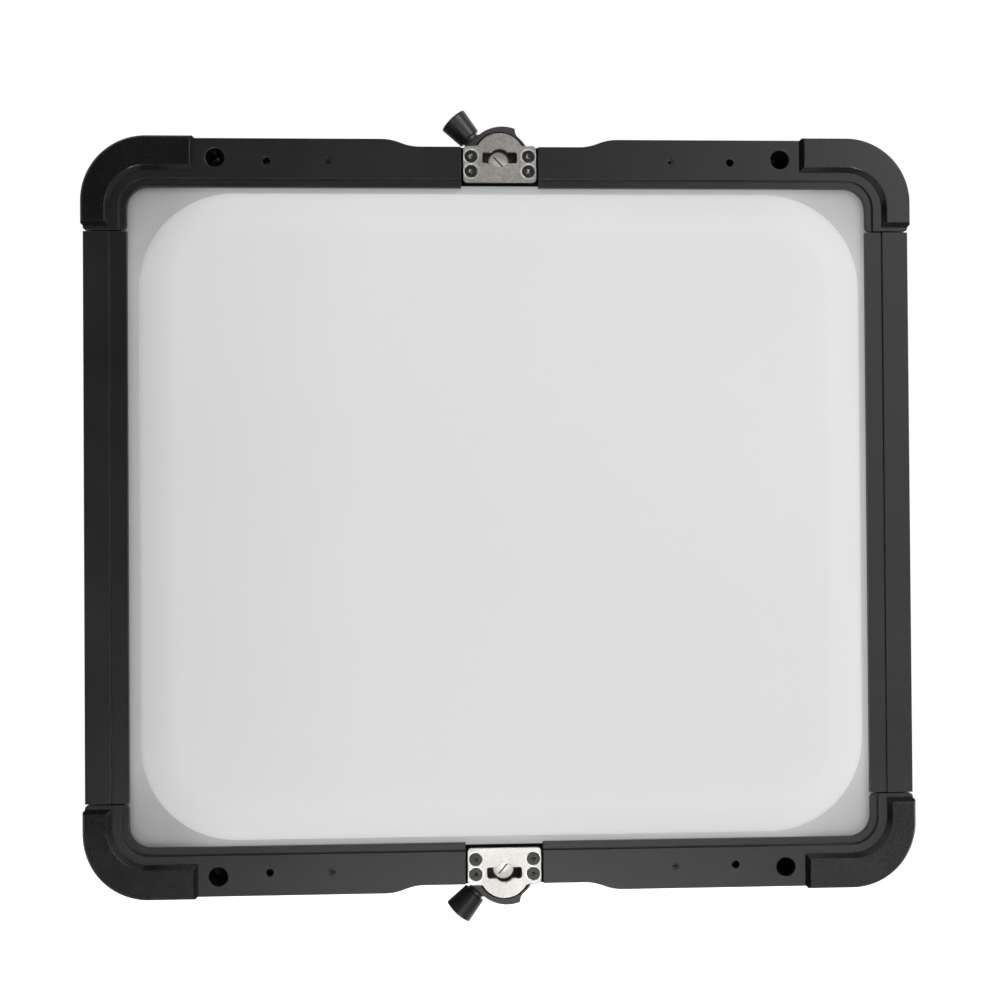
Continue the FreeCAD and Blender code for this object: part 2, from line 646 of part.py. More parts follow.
def display_window():
    return fuse([box(-92.9, -31.1, 102.6, 104.6, PANEL_Z - 7.9, PANEL_Z + 22.9),
                 box(-90, -34, 94.5, 102.7, PANEL_Z - 5, PANEL_Z + 20)])


def control_knob(x):
    cap = fuse([cyl(x, PANEL_Z, 13.0, 106.0, 109.0),
                cone(x, PANEL_Z, 12.0, 11.2, 109.0, 116.2),
                cone(x, PANEL_Z, 11.2, 10.4, 116.2, 117.0)])
    cap = cap.cut(ring(x, PANEL_Z, 3.8, 10.2, 105, 112))
    flutes = [polar(12.35, angle, x, PANEL_Z) for angle in range(0, 360, 15)]
    cap = cap.cut(cyls(flutes, 0.9, 109.0, 118))
    # index line
    cap = cap.cut(box(x - 0.6, x + 0.6, 116.4, 118, PANEL_Z + 3, PANEL_Z + 12))
    return fuse([cap, cyl(x, PANEL_Z, 3.0, 96, 108)])


def button(x, z):
    return fuse([box(x - 6.8, x + 6.8, 100.5, 107.2, z - 3.8, z + 3.8),
                 box(x - 8.5, x + 8.5, 98.6, 100.7, z - 5.2, z + 5.2),
                 cyl(x, z, 1.5, 96.2, 99)])


# ---------------------------------------------------------------- connectors and switch
def connector_body(x, flange, r, d0):
    return fuse([slab(flange, HOUSE_D2, 109.4, x, CONN_Z), cyl(x, CONN_Z, r, d0, 108)])


def flange_holes(x, dx, dz):
    return cyls([(x + dx, CONN_Z + dz), (x - dx, CONN_Z - dz)], 1.6, 105, 110)


def data_connector(x, pins):
    body = connector_body(x, (13, 15.5, 2.5), 12.0, 86)
    if pins:
        body = body.cut(cyl(x, CONN_Z, 9.3, 94, 110))
        places = [polar(5.6, angle, x, CONN_Z) for angle in PIN_ANGLES]
        body = fuse([body] + cyls(places, 0.9, 93, 106.5))
    else:
        body = body.cut(ring(x, CONN_Z, 8.0, 9.6, 97, 110))
        places = [polar(5.2, angle, x, CONN_Z) for angle in PIN_ANGLES]
        body = body.cut(cyls(places, 1.1, 97, 110))
    return body.cut(flange_holes(x, 9.5, 12))


def power_inlet():
    x = INLET_X
    body = connector_body(x, (14, 16, 2.5), 12.5, 84)
    body = body.cut(ring(x, CONN_Z, 5.0, 10.2, 96, 110))
    body = body.cut([box(x - 0.9, x + 0.9, 99, 110, CONN_Z - 3.2, CONN_Z + 3.2)])
    body = body.fuse([box(x - 2, x + 2, 96, 107.5, CONN_Z + 8.2, CONN_Z + 10.4)])
    return body.cut(flange_holes(x, 10, 12.5))


def rocker_frame():
    x = SWITCH_X
    frame = fuse([slab((15.5, 11.5, 1.5), HOUSE_D2, 109, x, CONN_Z),
                  box(x - 13, x + 13, 92, 107.5, CONN_Z - 9, CONN_Z + 9)])
    frame = frame.cut(box(x - 11.2, x + 11.2, 94, 110, CONN_Z - 7.3, CONN_Z + 7.3))
    return frame.cut(rod(1.55, 17.0, x, 104.5, CONN_Z - 8.5, Z_AXIS))


def power_rocker():
    # (x from the switch centre, d); the paddle on the -X side is pressed in
    profile = [(-9.0, 105.3), (0.0, 107.7), (9.0, 110.5), (9.8, 104.2),
               (3.0, 99.0), (-3.0, 99.0), (-9.8, 101.5)]
    face = Part.Face(closed([V(SWITCH_X + x, y_at(d), CONN_Z - 7.0) for x, d in profile]))
    rocker = face.extrude(V(0, 0, 14.0))
    return rocker.fuse(rod(1.5, 16.6, SWITCH_X, 104.5, CONN_Z - 8.3, Z_AXIS)).removeSplitter()


# ---------------------------------------------------------------- quick-lock latch, top
def to_lever(shape):
    # from a frame with the pivot at the origin and the lever along +X
    shape.rotate(ORIGIN, Y_AXIS, -LEVER_ANGLE)
    shape.translate(V(0, 0, PIVOT_Z))
    return shape


def latch_plate():
    thick = 3
    plate = slab((LATCH_HX, (LATCH_Z1 - LATCH_Z0) / 2, 2.5), 0, thick,
                 z=(LATCH_Z1 + LATCH_Z0) / 2)
    plate = plate.fuse(cyl(0, PIVOT_Z, LATCH_R, 0, thick)).removeSplitter()
    # inner corners where the round boss rises out of the top edge
    corners = []
    for edge in plate.Edges:
        bounds = edge.BoundBox
        if (bounds.YLength > 2.9 and bounds.XLength < 0.01
                and abs(bounds.ZMin - LATCH_Z1) < 0.05
                and abs(abs(bounds.XMin) - 13.9) < 1.0):
            corners.append(edge)
    plate = plate.makeFillet(2.0, corners)
    keyhole = fuse([cyl(0, PIVOT_Z, 6.25, -1, 4), slab((11.35, 3.6, 1.5), -1, 4, z=PIVOT_Z)])
    plate = plate.cut(keyhole)
    for x, z in LATCH_SCREWS:
        plate = plate.cut([cyl(x, z, 2.2, -1, 4), cone(x, z, 4.5, 2.2, 0.0, 2.3)])
    return plate


def lever():
    d0, d1 = DISC_D0, DISC_D1

    def disc_part(x, z, r, points):
        # disc clipped to a polygon, both placed from the pivot
        outline = polygon([(px, PIVOT_Z + pz) for px, pz in points])
        return cyl(x, PIVOT_Z + z, r, d0, d1).common(prism(outline, d0 - 1, d1 + 1))

    hub = cyl(0, PIVOT_Z, 15.0, d0, d1)
    sector = disc_part(0, 0, 21.0, [(0, 0)] + [polar(40, a) for a in (27, 60, 100, 152)])
    lobe = disc_part(2.5, -0.2, 23.9,
                     [(0, 0), (11.15, 18.6), (10.45, 27), (-10, 40), (-35, 33.6)])
    heel = disc_part(0, 0, 21.7, [(0, 0)] + [polar(40, a) for a in (125, 140, 155)])
    arm = to_lever(box(10, 22.35, d0, d1, KNOB_OFFSET - 6.0, KNOB_OFFSET + 6.0))
    body = hub.fuse([sector, lobe, heel, arm]).removeSplitter()
    tip = []
    for edge in body.Edges:
        bounds = edge.BoundBox
        if (bounds.YLength > 5.9 and bounds.XLength < 0.01 and bounds.ZLength < 0.01
                and math.hypot(bounds.XMin - 10.7, bounds.ZMin - PIVOT_Z - 22.2) < 1.2):
            tip.append(edge)
    # the tooth tip is rounded when its edge comes through the fuse whole
    if tip:
        body = body.makeFillet(0.9, tip)
    # small web that softens the root of the tooth
    web = [(9.0, 18.0), (11.02, 20.3), (11.35, 19.0), (11.9, 17.9), (12.9, 16.4), (10.0, 14.0)]
    web = prism(polygon([(x, PIVOT_Z + z) for x, z in web]), d0, d1)
    body = body.fuse(web).removeSplitter()
    # cup in front of the disc, with two jaws at its mouth
    cup = ring(0, PIVOT_Z, 11.6, 13.2, 6.5, d0 + 0.5)
    jaws = cyl(0, PIVOT_Z, 13.2, 3.6, 7.0).cut([
        cyl(0, PIVOT_Z, 8.6, 3, 8), slab((14, 3.8, 1.5), 3, 8, z=PIVOT_Z)])
    body = body.fuse([cup, jaws]).removeSplitter()
    bore = to_lever(rod(2.52, 9, 15.0, KNOB_D, KNOB_OFFSET, X_AXIS))
    return body.cut([cyl(0, PIVOT_Z, 6.75, d0 - 1, 17), cyl(0, PIVOT_Z, 5.02, 16, 21), bore])


def turned_on_knob_axis(profile):
    # closed profile of (distance from the pivot, radius)
    solid = Part.Face(closed([V(a, 0, r) for a, r in profile])).revolve(ORIGIN, X_AXIS, 360)
    solid.translate(V(0, y_at(KNOB_D), KNOB_OFFSET))
    return to_lever(solid)


def lever_knob():
    end = [(42.7 - 1.6 * (r / 8.8) ** 2, r) for r in (8.2, 7, 5.5, 4, 2, 0)]
    return turned_on_knob_axis([
        (36.4, 0), (36.4, 2.55), (24.5, 2.55), (24.5, 7.0), (24.7, 7.4),
        (25.1, 7.65), (40.1, 9.55), (40.7, 9.45), (41.1, 9.15)] + end)


def lever_neck():
    return turned_on_knob_axis([
        (15.6, 0), (15.6, 2.5), (22.35, 2.5), (22.35, 5.5), (22.6, 5.8), (23.1, 5.8),
        (23.4, 5.45), (24.5, 5.45), (24.5, 2.5), (36.0, 2.5), (36.0, 0)])


def latch_stud():
    stud = revolve_y([(0, 14.35), (2, 14.40), (4, 14.55), (5.5, 14.8), (6.3, 15.1),
                      (6.7, 15.5), (6.7, 17), (SHAFT_R, 17), (SHAFT_R, 36.0), (0, 36.0)],
                     0, PIVOT_Z)
    # index slot across the face, in line with the lever
    return stud.cut(to_lever(box(-4.6, 4.6, 13, 15.0, -0.45, 0.45)))


def latch_nut():
    return prism(hexagon(0, PIVOT_Z, 15), 30.2, 34.4).cut(cyl(0, PIVOT_Z, SHAFT_R + 0.01, 30, 35))


def latch_spring():
    return revolve_y([(5.5, 27.0), (6.4, 27.0), (8.8, 28.3), (8.8, 28.9),
                      (6.4, 30.2), (5.5, 30.2), (8.1, 28.6)], 0, PIVOT_Z)


def latch_bushing():
    return ring(0, PIVOT_Z, SHAFT_R + 0.05, BUSH_R, BRIDGE_D0, BRIDGE_D1)


def latch_plate_screw(x, z):
    body = fuse([cone(x, z, 3.95, 2.0, 0.3, 2.25), cyl(x, z, 2.0, 2.2, 12.5)])
    return body.cut([prism(star(x, z, 1.85), 0, 1.5), cone(x, z, 1.3, 0.2, 1.4, 2.1)])


# ---------------------------------------------------------------- all pieces
parts = {
    "dome_diffuser": dome_diffuser(),
    "diffuser_gasket": diffuser_gasket(),
    "mixing_box": mixing_box(),
    "heat_sink": heat_sink(),
    "rear_housing": rear_housing(),
    "mount_plate": mount_plate(),
    "power_supply": power_supply(),
    "driver_board": driver_board(),
    "control_board": control_board(),
    "control_bezel": control_bezel(),
    "display_window": display_window(),
    "data_in_connector": data_connector(DATA_IN_X, True),
    "data_out_connector": data_connector(DATA_OUT_X, False),
    "power_inlet": power_inlet(),
    "rocker_frame": rocker_frame(),
    "power_rocker": power_rocker(),
}
for name, x in KNOBS.items():
    parts[name] = control_knob(x)
for i, (x, z) in enumerate(BUTTONS):
    parts["button_%d" % (i + 1)] = button(x, z)

# right-hand pieces and their mirror images
for name, build in (("%s_side_rail", side_rail), ("led_board_%s", led_board),
                    ("fan_frame_%s", fan_frame), ("fan_rotor_%s", fan_rotor),
                    ("bumper_top_%s", bumper)):
    right = build()
    parts[name % "right"] = right
    parts[name % "left"] = mirror_x(right)
for side in ("right", "left"):
    parts["bumper_bottom_" + side] = mirror_z(parts["bumper_top_" + side])

# top pieces and their mirror images
for name, build in (("casting", casting), ("latch_plate", latch_plate),
                    ("latch_lever", lever), ("lever_knob", lever_knob),
                    ("lever_neck", lever_neck), ("latch_stud", latch_stud),
                    ("latch_nut", latch_nut)):
    top = build()
    parts["top_" + name] = top
    parts["bottom_" + name] = mirror_z(top)

# sets kept together as one piece
fan_screw_places = [place for side in SIDES
                    for place in at_corners(FAN_SCREW, FAN_SCREW, side * FAN_X, FAN_Z)]
sets = {"led_emitters": led_emitters(), "housing_screws": housing_screws()}
for name, build, places in (
        ("frame_bolts", frame_bolt, at_corners(BOLT_X, BOLT_Z)),
        ("frame_set_screws", set_screw, at_corners(SET_X, SET_Z)),
        ("led_board_screws", board_screw, BOARD_SCREWS),
        ("heat_sink_screws", heat_sink_screw, at_corners(SINK_X, SINK_Z)),
        ("rear_feet", rear_foot, at_corners(212, 188)),
        ("mount_plate_screws", mount_screw, MOUNT_SCREWS),
        ("fan_screws", fan_screw, fan_screw_places)):
    sets[name] = [build(x, z) for x, z in places]
for name, tops in (("latch_springs", [latch_spring()]),
                   ("latch_bushings", [latch_bushing()]),
                   ("latch_plate_screws", [latch_plate_screw(x, z) for x, z in LATCH_SCREWS])):
    sets[name] = [solid for top in tops for solid in (top, mirror_z(top))]
for name, solids in sets.items():
    parts[name] = Part.makeCompound(solids)

# ---------------------------------------------------------------- export
os.makedirs("parts", exist_ok=True)
for name, shape in parts.items():
    shape.exportStep("parts/%s.step" % name)
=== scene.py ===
# A square-cornered panel light: a crowned opal dome in a black frame, held by a latch at the top and
# one at the bottom, with a control panel on its back.
# The dome faces -Y. Seen from the front, +X is to the right and +Z is up. Blender units are metres;
# names ending in _MM, and the outlines of the built pieces, are in millimetres.
import json
import math

import bmesh
import bpy
import numpy as np
from mathutils import Matrix, Vector


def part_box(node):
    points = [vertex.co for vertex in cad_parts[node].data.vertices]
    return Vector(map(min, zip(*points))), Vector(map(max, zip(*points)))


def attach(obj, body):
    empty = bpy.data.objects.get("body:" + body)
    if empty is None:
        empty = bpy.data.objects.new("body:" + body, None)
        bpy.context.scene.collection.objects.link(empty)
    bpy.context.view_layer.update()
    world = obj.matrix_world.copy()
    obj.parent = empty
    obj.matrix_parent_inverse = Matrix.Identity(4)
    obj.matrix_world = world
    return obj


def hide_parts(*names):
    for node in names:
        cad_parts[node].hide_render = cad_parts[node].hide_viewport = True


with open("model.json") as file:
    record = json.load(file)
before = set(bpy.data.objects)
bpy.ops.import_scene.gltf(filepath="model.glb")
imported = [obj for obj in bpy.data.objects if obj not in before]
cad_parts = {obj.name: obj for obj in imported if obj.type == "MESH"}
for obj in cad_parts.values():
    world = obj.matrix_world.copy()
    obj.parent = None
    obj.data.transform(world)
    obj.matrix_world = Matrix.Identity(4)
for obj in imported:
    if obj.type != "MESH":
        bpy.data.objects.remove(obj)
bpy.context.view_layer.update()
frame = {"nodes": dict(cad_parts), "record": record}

MM = 0.001
NODES = frame["nodes"]
RAIL_FRONT = -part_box("left_side_rail")[0].y     # the rails' front face lies at y = -RAIL_FRONT

# The dome's outline at its foot.
DOME_HALF_X_MM = 231.2
DOME_HALF_Z_MM = 205.6
DOME_CORNER_MM = 61.0
FLANGE_FRONT_MM = 5.0       # depth of the flange's front face

# The latches, mirrored in z, in metres.
LATCH_Z = 0.2324            # height of the shaft's axis
SCREW_X = 0.01873           # the plate's screws lie at plus and minus this x
SCREW_ROWS = (0.2333, 0.2236)
LATCH_SPAN = (-0.2, 0.2)    # z from the bottom latch to the top one, for gradual changes


def at_depth(depth):
    """The y of a depth in millimetres behind the rails' front face."""
    return depth * MM - RAIL_FRONT


def depth_of(y):
    return (y + RAIL_FRONT) * 1000.0


# ============================================================ node helpers
class NodeGraph:
    """A cleared node tree with helpers that add nodes and return their output sockets."""

    def __init__(self, tree):
        self.tree = tree
        tree.nodes.clear()

    def node(self, kind, **settings):
        node = self.tree.nodes.new(kind)
        for key, value in settings.items():
            setattr(node, key, value)
        return node

    def put(self, socket, value):
        """Link a socket, or set its value; a colour gets an alpha of 1."""
        if isinstance(value, bpy.types.NodeSocket):
            self.tree.links.new(value, socket)
        elif socket.type == "RGBA":
            socket.default_value = (*value, 1.0)
        else:
            socket.default_value = value

    def math(self, operation, a, b=0.0):
        node = self.node("ShaderNodeMath", operation=operation)
        self.put(node.inputs[0], a)
        self.put(node.inputs[1], b)
        return node.outputs[0]

    def add(self, a, b):
        return self.math("ADD", a, b)

    def sub(self, a, b):
        return self.math("SUBTRACT", a, b)

    def mul(self, a, b):
        return self.math("MULTIPLY", a, b)

    def abs(self, a):
        return self.math("ABSOLUTE", a)

    def less(self, a, b):
        return self.math("LESS_THAN", a, b)

    def greater(self, a, b):
        return self.math("GREATER_THAN", a, b)

    def length(self, a, b):
        return self.math("SQRT", self.add(self.mul(a, a), self.mul(b, b)))

    def ramp(self, value, over, to=(0.0, 1.0), smooth=False):
        """Map the span `over` to the span `to`, held constant outside it."""
        kind = "SMOOTHSTEP" if smooth else "LINEAR"
        node = self.node("ShaderNodeMapRange", clamp=True, interpolation_type=kind)
        for i, item in enumerate((value, *over, *to)):
            self.put(node.inputs[i], item)
        return node.outputs[0]

    def split(self, vector):
        node = self.node("ShaderNodeSeparateXYZ")
        self.put(node.inputs[0], vector)
        return node.outputs


class Material(NodeGraph):
    """A Principled material. Texture coordinates are object coordinates in metres."""

    SOCKETS = {
        "color": "Base Color", "rough": "Roughness", "metal": "Metallic", "normal": "Normal",
        "spec": "Specular IOR Level", "coat": "Coat Weight", "coat_rough": "Coat Roughness",
        "sss": "Subsurface Weight", "sss_radius": "Subsurface Radius",
        "sss_scale": "Subsurface Scale", "emit": "Emission Color",
        "emit_strength": "Emission Strength", "sheen": "Sheen Weight",
        "sheen_rough": "Sheen Roughness",
    }

    def __init__(self, name):
        self.material = bpy.data.materials.new(name)
        self.material.use_nodes = True
        super().__init__(self.material.node_tree)
        self.output = self.node("ShaderNodeOutputMaterial")
        self.shader = self.node("ShaderNodeBsdfPrincipled")
        self.put(self.output.inputs[0], self.shader.outputs[0])
        self.coords = self.node("ShaderNodeTexCoord").outputs["Object"]

    def finish(self, **values):
        for key, value in values.items():
            self.put(self.shader.inputs[self.SOCKETS[key]], value)
        return self.material

    def noise(self, scale, detail, rough, vector=None):
        node = self.node("ShaderNodeTexNoise")
        self.put(node.inputs["Vector"], vector or self.coords)
        node.inputs["Scale"].default_value = scale
        node.inputs["Detail"].default_value = detail
        node.inputs["Roughness"].default_value = rough
        return node.outputs["Fac"]

    def mapped(self, scale=(1, 1, 1), turn=(0, 0, 0), shift=(0, 0, 0)):
        node = self.node("ShaderNodeMapping")
        self.put(node.inputs["Vector"], self.coords)
        node.inputs["Location"].default_value = shift
        node.inputs["Rotation"].default_value = turn
        node.inputs["Scale"].default_value = scale
        return node.outputs[0]

    def spread(self, noise, to=(0.0, 1.0)):
        """Map the span that a noise mostly fills."""
        return self.ramp(noise, over=(0.3, 0.7), to=to)

    def mix(self, factor, a, b):
        node = self.node("ShaderNodeMix", data_type="RGBA")
        self.put(node.inputs[0], factor)
        self.put(node.inputs[6], a)
        self.put(node.inputs[7], b)
        return node.outputs[2]

    def bevel(self, radius):
        node = self.node("ShaderNodeBevel", samples=4)
        node.inputs["Radius"].default_value = radius
        return node.outputs[0]

    def edges(self, radius, over=(0.02, 0.25)):
        """A mask, 1 on sharp edges and 0 on flat faces, and the softened normal."""
        soft = self.bevel(radius)
        flat = self.node("ShaderNodeNewGeometry").outputs["Normal"]
        dot = self.node("ShaderNodeVectorMath", operation="DOT_PRODUCT")
        self.put(dot.inputs[0], soft)
        self.put(dot.inputs[1], flat)
        return self.ramp(self.sub(1.0, dot.outputs["Value"]), over=over), soft

    def bump(self, height, strength, distance, normal=None):
        node = self.node("ShaderNodeBump")
        node.inputs["Strength"].default_value = strength
        node.inputs["Distance"].default_value = distance
        self.put(node.inputs["Height"], height)
        if normal is not None:
            self.put(node.inputs["Normal"], normal)
        return node.outputs[0]

    def from_latch(self, x, z):
        """Height above the nearer latch's axis, counted outwards, and distance from that axis."""
        rise = self.sub(self.abs(z), LATCH_Z)
        return rise, self.length(x, rise)

    def from_screw(self, x, z):
        """Distance from the axis of the nearest latch screw."""
        across = self.sub(self.abs(x), SCREW_X)
        height = self.abs(z)
        rows = [self.abs(self.sub(height, row)) for row in SCREW_ROWS]
        return self.length(across, self.math("MINIMUM", *rows))


def shade(colour, factor, lift=0.0):
    return tuple(min(1.0, part * factor + lift) for part in colour)


# ============================================================ materials
def coated(name, base, rough, grain=1500.0, grain_height=0.00006, grain_strength=0.35, edge_wear_and_highlight=0.35,
           radius=0.0008, vary=0.35, metal=0.0, worn_and_highlight_colour=(0.075, 0.074, 0.072), edge_span=(0.02, 0.14),
           speckle=0.30, pocket=False):
    """Powder coat, anodising or moulded plastic: fine grain, faint blotches, and edges lightened
    partly by real rubbing and partly as painted edge highlights.
    """
    mat = Material(name)
    blotch = mat.noise(scale=16.0, detail=4.0, rough=0.6)
    mottle = mat.noise(scale=170.0, detail=3.0, rough=0.55)
    fine = mat.noise(scale=grain, detail=2.0, rough=0.6)
    specks = mat.ramp(mat.noise(scale=grain * 1.7, detail=1.0, rough=0.5), over=(0.62, 0.74))
    colour = mat.mix(mat.spread(blotch), shade(base, 1 - vary), shade(base, 1 + vary))
    colour = mat.mix(mat.mul(specks, speckle), colour, shade(base, factor=2.4, lift=0.004))
    edges, normal = mat.edges(radius, over=edge_span)
    edges = mat.mul(edges, mat.ramp(mottle, over=(0.34, 0.62), to=(0.6, 1.0)))
    # Edges are lightened: partly real rubbing, partly painted highlight lines that stand in for
    # light caught by the edges.
    colour = mat.mix(mat.mul(edges, edge_wear_and_highlight), colour, worn_and_highlight_colour)
    roughness = mat.add(mat.spread(blotch, to=(rough - 0.035, rough + 0.035)),
                        mat.spread(fine, to=(-0.04, 0.04)))
    roughness = mat.sub(roughness, mat.mul(edges, 0.10))
    relief = mat.add(mat.mul(fine, 1.0), mat.mul(mottle, 0.25))
    specular = 0.5
    if pocket:
        # Painted shade: the pocket and collar behind the latch plate are painted near black, duller
        # and rougher.
        inside = painted_pocket_shade(mat)
        colour = mat.mix(inside, colour, (0.0016, 0.0015, 0.0014))
        specular = mat.ramp(inside, over=(0.0, 1.0), to=(specular, 0.05))
        roughness = mat.add(roughness, mat.mul(inside, 0.25))
    return mat.finish(color=colour, rough=roughness, metal=metal, spec=specular,
                      normal=mat.bump(relief, grain_strength, grain_height, normal))


def painted_pocket_shade(mat):
    """Mask of the latch pocket and the collar round the shaft, where painted shade darkens the
    surface to near black.
    """
    half_width, half_height, drop = 0.0251, 0.0135, 0.005   # drop: its middle below the axis
    collar_radius = 0.0179
    x, y, z = mat.split(mat.coords)
    rise, distance = mat.from_latch(x, z)
    slot = mat.mul(mat.less(mat.abs(x), half_width),
                   mat.less(mat.abs(mat.add(rise, drop)), half_height))
    inside = mat.math("MAXIMUM", slot, mat.less(distance, collar_radius))
    return mat.mul(inside, mat.ramp(y, over=(at_depth(0.3), at_depth(2.6))))


def steel(name, base, rough, tumble=420.0, spots=0.5, brush=None, painted_plate_light_and_seats=False):
    """Bare metal with a fine tumbled mottle and scratches; brush stretches a line noise."""
    mat = Material(name)
    coarse = mat.noise(scale=tumble, detail=6.0, rough=0.62)
    fine = mat.noise(scale=tumble * 4.2, detail=3.0, rough=0.6)
    broad = mat.noise(scale=38.0, detail=3.0, rough=0.5)
    upright = mat.noise(scale=60.0, detail=2.0, rough=0.5,
                        vector=mat.mapped(scale=(22, 22, 0.9), turn=(0, 0.5, 0)))
    level = mat.noise(scale=60.0, detail=2.0, rough=0.5,
                      vector=mat.mapped(scale=(0.9, 22, 22), turn=(0, -0.35, 0.2)))
    scratches = mat.math("MAXIMUM", mat.ramp(upright, over=(0.66, 0.72)),
                         mat.ramp(level, over=(0.67, 0.73)))
    colour = mat.mix(mat.ramp(coarse, over=(0.34, 0.66)),
                     shade(base, 1 - 0.28 * spots), shade(base, 1 + 0.16 * spots))
    pits = mat.mul(mat.ramp(fine, over=(0.58, 0.72)), 0.35 * spots)
    colour = mat.mix(pits, colour, shade(base, factor=0.55))
    edges, normal = mat.edges(radius=0.0004)
    colour = mat.mix(mat.mul(edges, 0.5), colour, shade(base, factor=1.25))
    if painted_plate_light_and_seats:
        # Painted light and shade: the bottom plate is painted paler, as it reflects the bright table
        # below, and the top one darker and browner; both are lighter round each screw.
        x, y, z = mat.split(mat.coords)
        seat = mat.mul(mat.ramp(mat.from_screw(x, z), over=(0.0053, 0.0049)), 0.75)
        bottom = mat.mix(0.5, colour, (0.60, 0.59, 0.56))
        top = mat.mix(0.42, colour, (0.205, 0.188, 0.167))
        colour = mat.mix(mat.ramp(z, over=LATCH_SPAN), bottom, top)
        colour = mat.mix(seat, colour, (0.90, 0.885, 0.86))
    roughness = mat.spread(coarse, to=rough)
    roughness = mat.add(roughness, mat.spread(broad, to=(-0.04, 0.04)))
    roughness = mat.sub(roughness, mat.mul(scratches, 0.08))
    relief = mat.add(mat.mul(coarse, 0.6), mat.mul(fine, 0.5))
    relief = mat.sub(relief, mat.mul(scratches, 0.25))
    if brush is not None:
        lines = mat.noise(scale=1.0, detail=3.0, rough=0.7, vector=mat.mapped(scale=brush))
        relief = mat.add(relief, mat.mul(lines, 1.2))
        roughness = mat.add(roughness, mat.spread(lines, to=(-0.05, 0.05)))
    bump = mat.bump(relief, strength=0.30, distance=0.00004, normal=normal)
    return mat.finish(color=colour, rough=roughness, metal=1.0, normal=bump)


def black_oxide():
    """Black oxide on hardened steel; heads that lie open at the front are painted a little brighter
    and those deep in their counterbores darker, as painted light and shade.
    """
    mat = Material("black_oxide")
    grain = mat.noise(scale=1400.0, detail=3.0, rough=0.6)
    mottle = mat.noise(scale=260.0, detail=3.0, rough=0.6)
    x, y, z = mat.split(mat.coords)
    front = mat.ramp(y, over=(at_depth(2.4), at_depth(1.9)))
    edges, normal = mat.edges(radius=0.00025, over=(0.03, 0.2))
    # Painted shade: heads at the bottom latch are painted darker than those at the top.
    head = mat.mix(mat.ramp(z, over=LATCH_SPAN), (0.036, 0.035, 0.033), (0.060, 0.060, 0.063))
    colour = mat.mix(front, (0.020, 0.020, 0.021), head)
    patches = mat.mix(front, (0.012, 0.012, 0.012), (0.030, 0.030, 0.032))
    colour = mat.mix(mat.ramp(mottle, over=(0.35, 0.65), to=(0.0, 0.5)), colour, patches)
    # Painted glints: near-white spots in the screw recesses stand in for reflections, mostly at the
    # top latch.
    painted_glint = mat.mul(mat.ramp(mat.from_screw(x, z), over=(0.0019, 0.0015)),
                    mat.ramp(mat.noise(scale=900.0, detail=2.0, rough=0.5), over=(0.44, 0.56)))
    painted_glint = mat.mul(painted_glint, mat.ramp(y, over=(at_depth(0.6), at_depth(0.9))))
    painted_glint = mat.mul(painted_glint, mat.ramp(z, over=LATCH_SPAN, to=(0.10, 1.0)))
    painted_glint = mat.mul(painted_glint, mat.less(y, at_depth(2.4)))
    colour = mat.mix(painted_glint, colour, (0.92, 0.92, 0.92))
    # Rims lightened, partly real rubbing and partly painted highlight, less on the deep bolts as
    # painted shade.
    rim_wear_and_highlight = mat.mul(edges, mat.ramp(front, over=(0.0, 1.0), to=(0.25, 0.8)))
    colour = mat.mix(rim_wear_and_highlight, colour, (0.32, 0.32, 0.32))
    roughness = mat.add(mat.spread(grain, to=(0.20, 0.32)), mat.spread(mottle, to=(-0.03, 0.03)))
    return mat.finish(color=colour, rough=roughness, metal=0.85,
                      normal=mat.bump(grain, strength=0.15, distance=0.00003, normal=normal))


def turned_steel():
    """Turned stud; its satin face is given a painted glow that stands in for the light falling
    through the keyhole.
    """
    ring_frequency = 26000.0    # radians per metre of radius
    slot_radius = 0.0047
    mat = Material("turned_steel")
    x, y, z = mat.split(mat.coords)
    rise, distance = mat.from_latch(x, z)
    rings = mat.math("SINE", mat.mul(distance, ring_frequency))
    grain = mat.noise(scale=900.0, detail=4.0, rough=0.6)
    face = mat.ramp(y, over=(at_depth(15.7), at_depth(15.1)))
    edges, normal = mat.edges(radius=0.0004)
    colour = mat.mix(mat.ramp(grain, over=(0.35, 0.65)), (0.55, 0.53, 0.50), (0.66, 0.64, 0.60))
    colour = mat.mix(mat.mul(edges, 0.5), colour, (0.80, 0.78, 0.75))
    roughness = mat.add(mat.spread(grain, to=(0.34, 0.44)),
                        mat.ramp(rings, over=(-1.0, 1.0), to=(-0.03, 0.03)))
    # Painted shade: the index slot's floor is painted dark in place of its shadow.
    slot = mat.mul(mat.less(distance, slot_radius),
                   mat.ramp(y, over=(at_depth(14.78), at_depth(14.9))))
    colour = mat.mix(slot, colour, (0.10, 0.085, 0.07))
    # Painted light: the face is given a faint emission glow outside the slot, more strongly at the
    # bottom latch.
    painted_glow = mat.mul(mat.spread(grain, to=(0.15, 0.23)),
                   mat.ramp(z, over=LATCH_SPAN, to=(2.7, 1.0)))
    painted_glow = mat.mul(mat.mul(face, mat.sub(1.0, slot)), painted_glow)
    relief = mat.add(grain, mat.mul(rings, 0.3))
    return mat.finish(color=colour, rough=roughness, metal=0.8, emit=(1.0, 0.97, 0.92),
                      emit_strength=painted_glow,
                      normal=mat.bump(relief, strength=0.12, distance=0.00003, normal=normal))


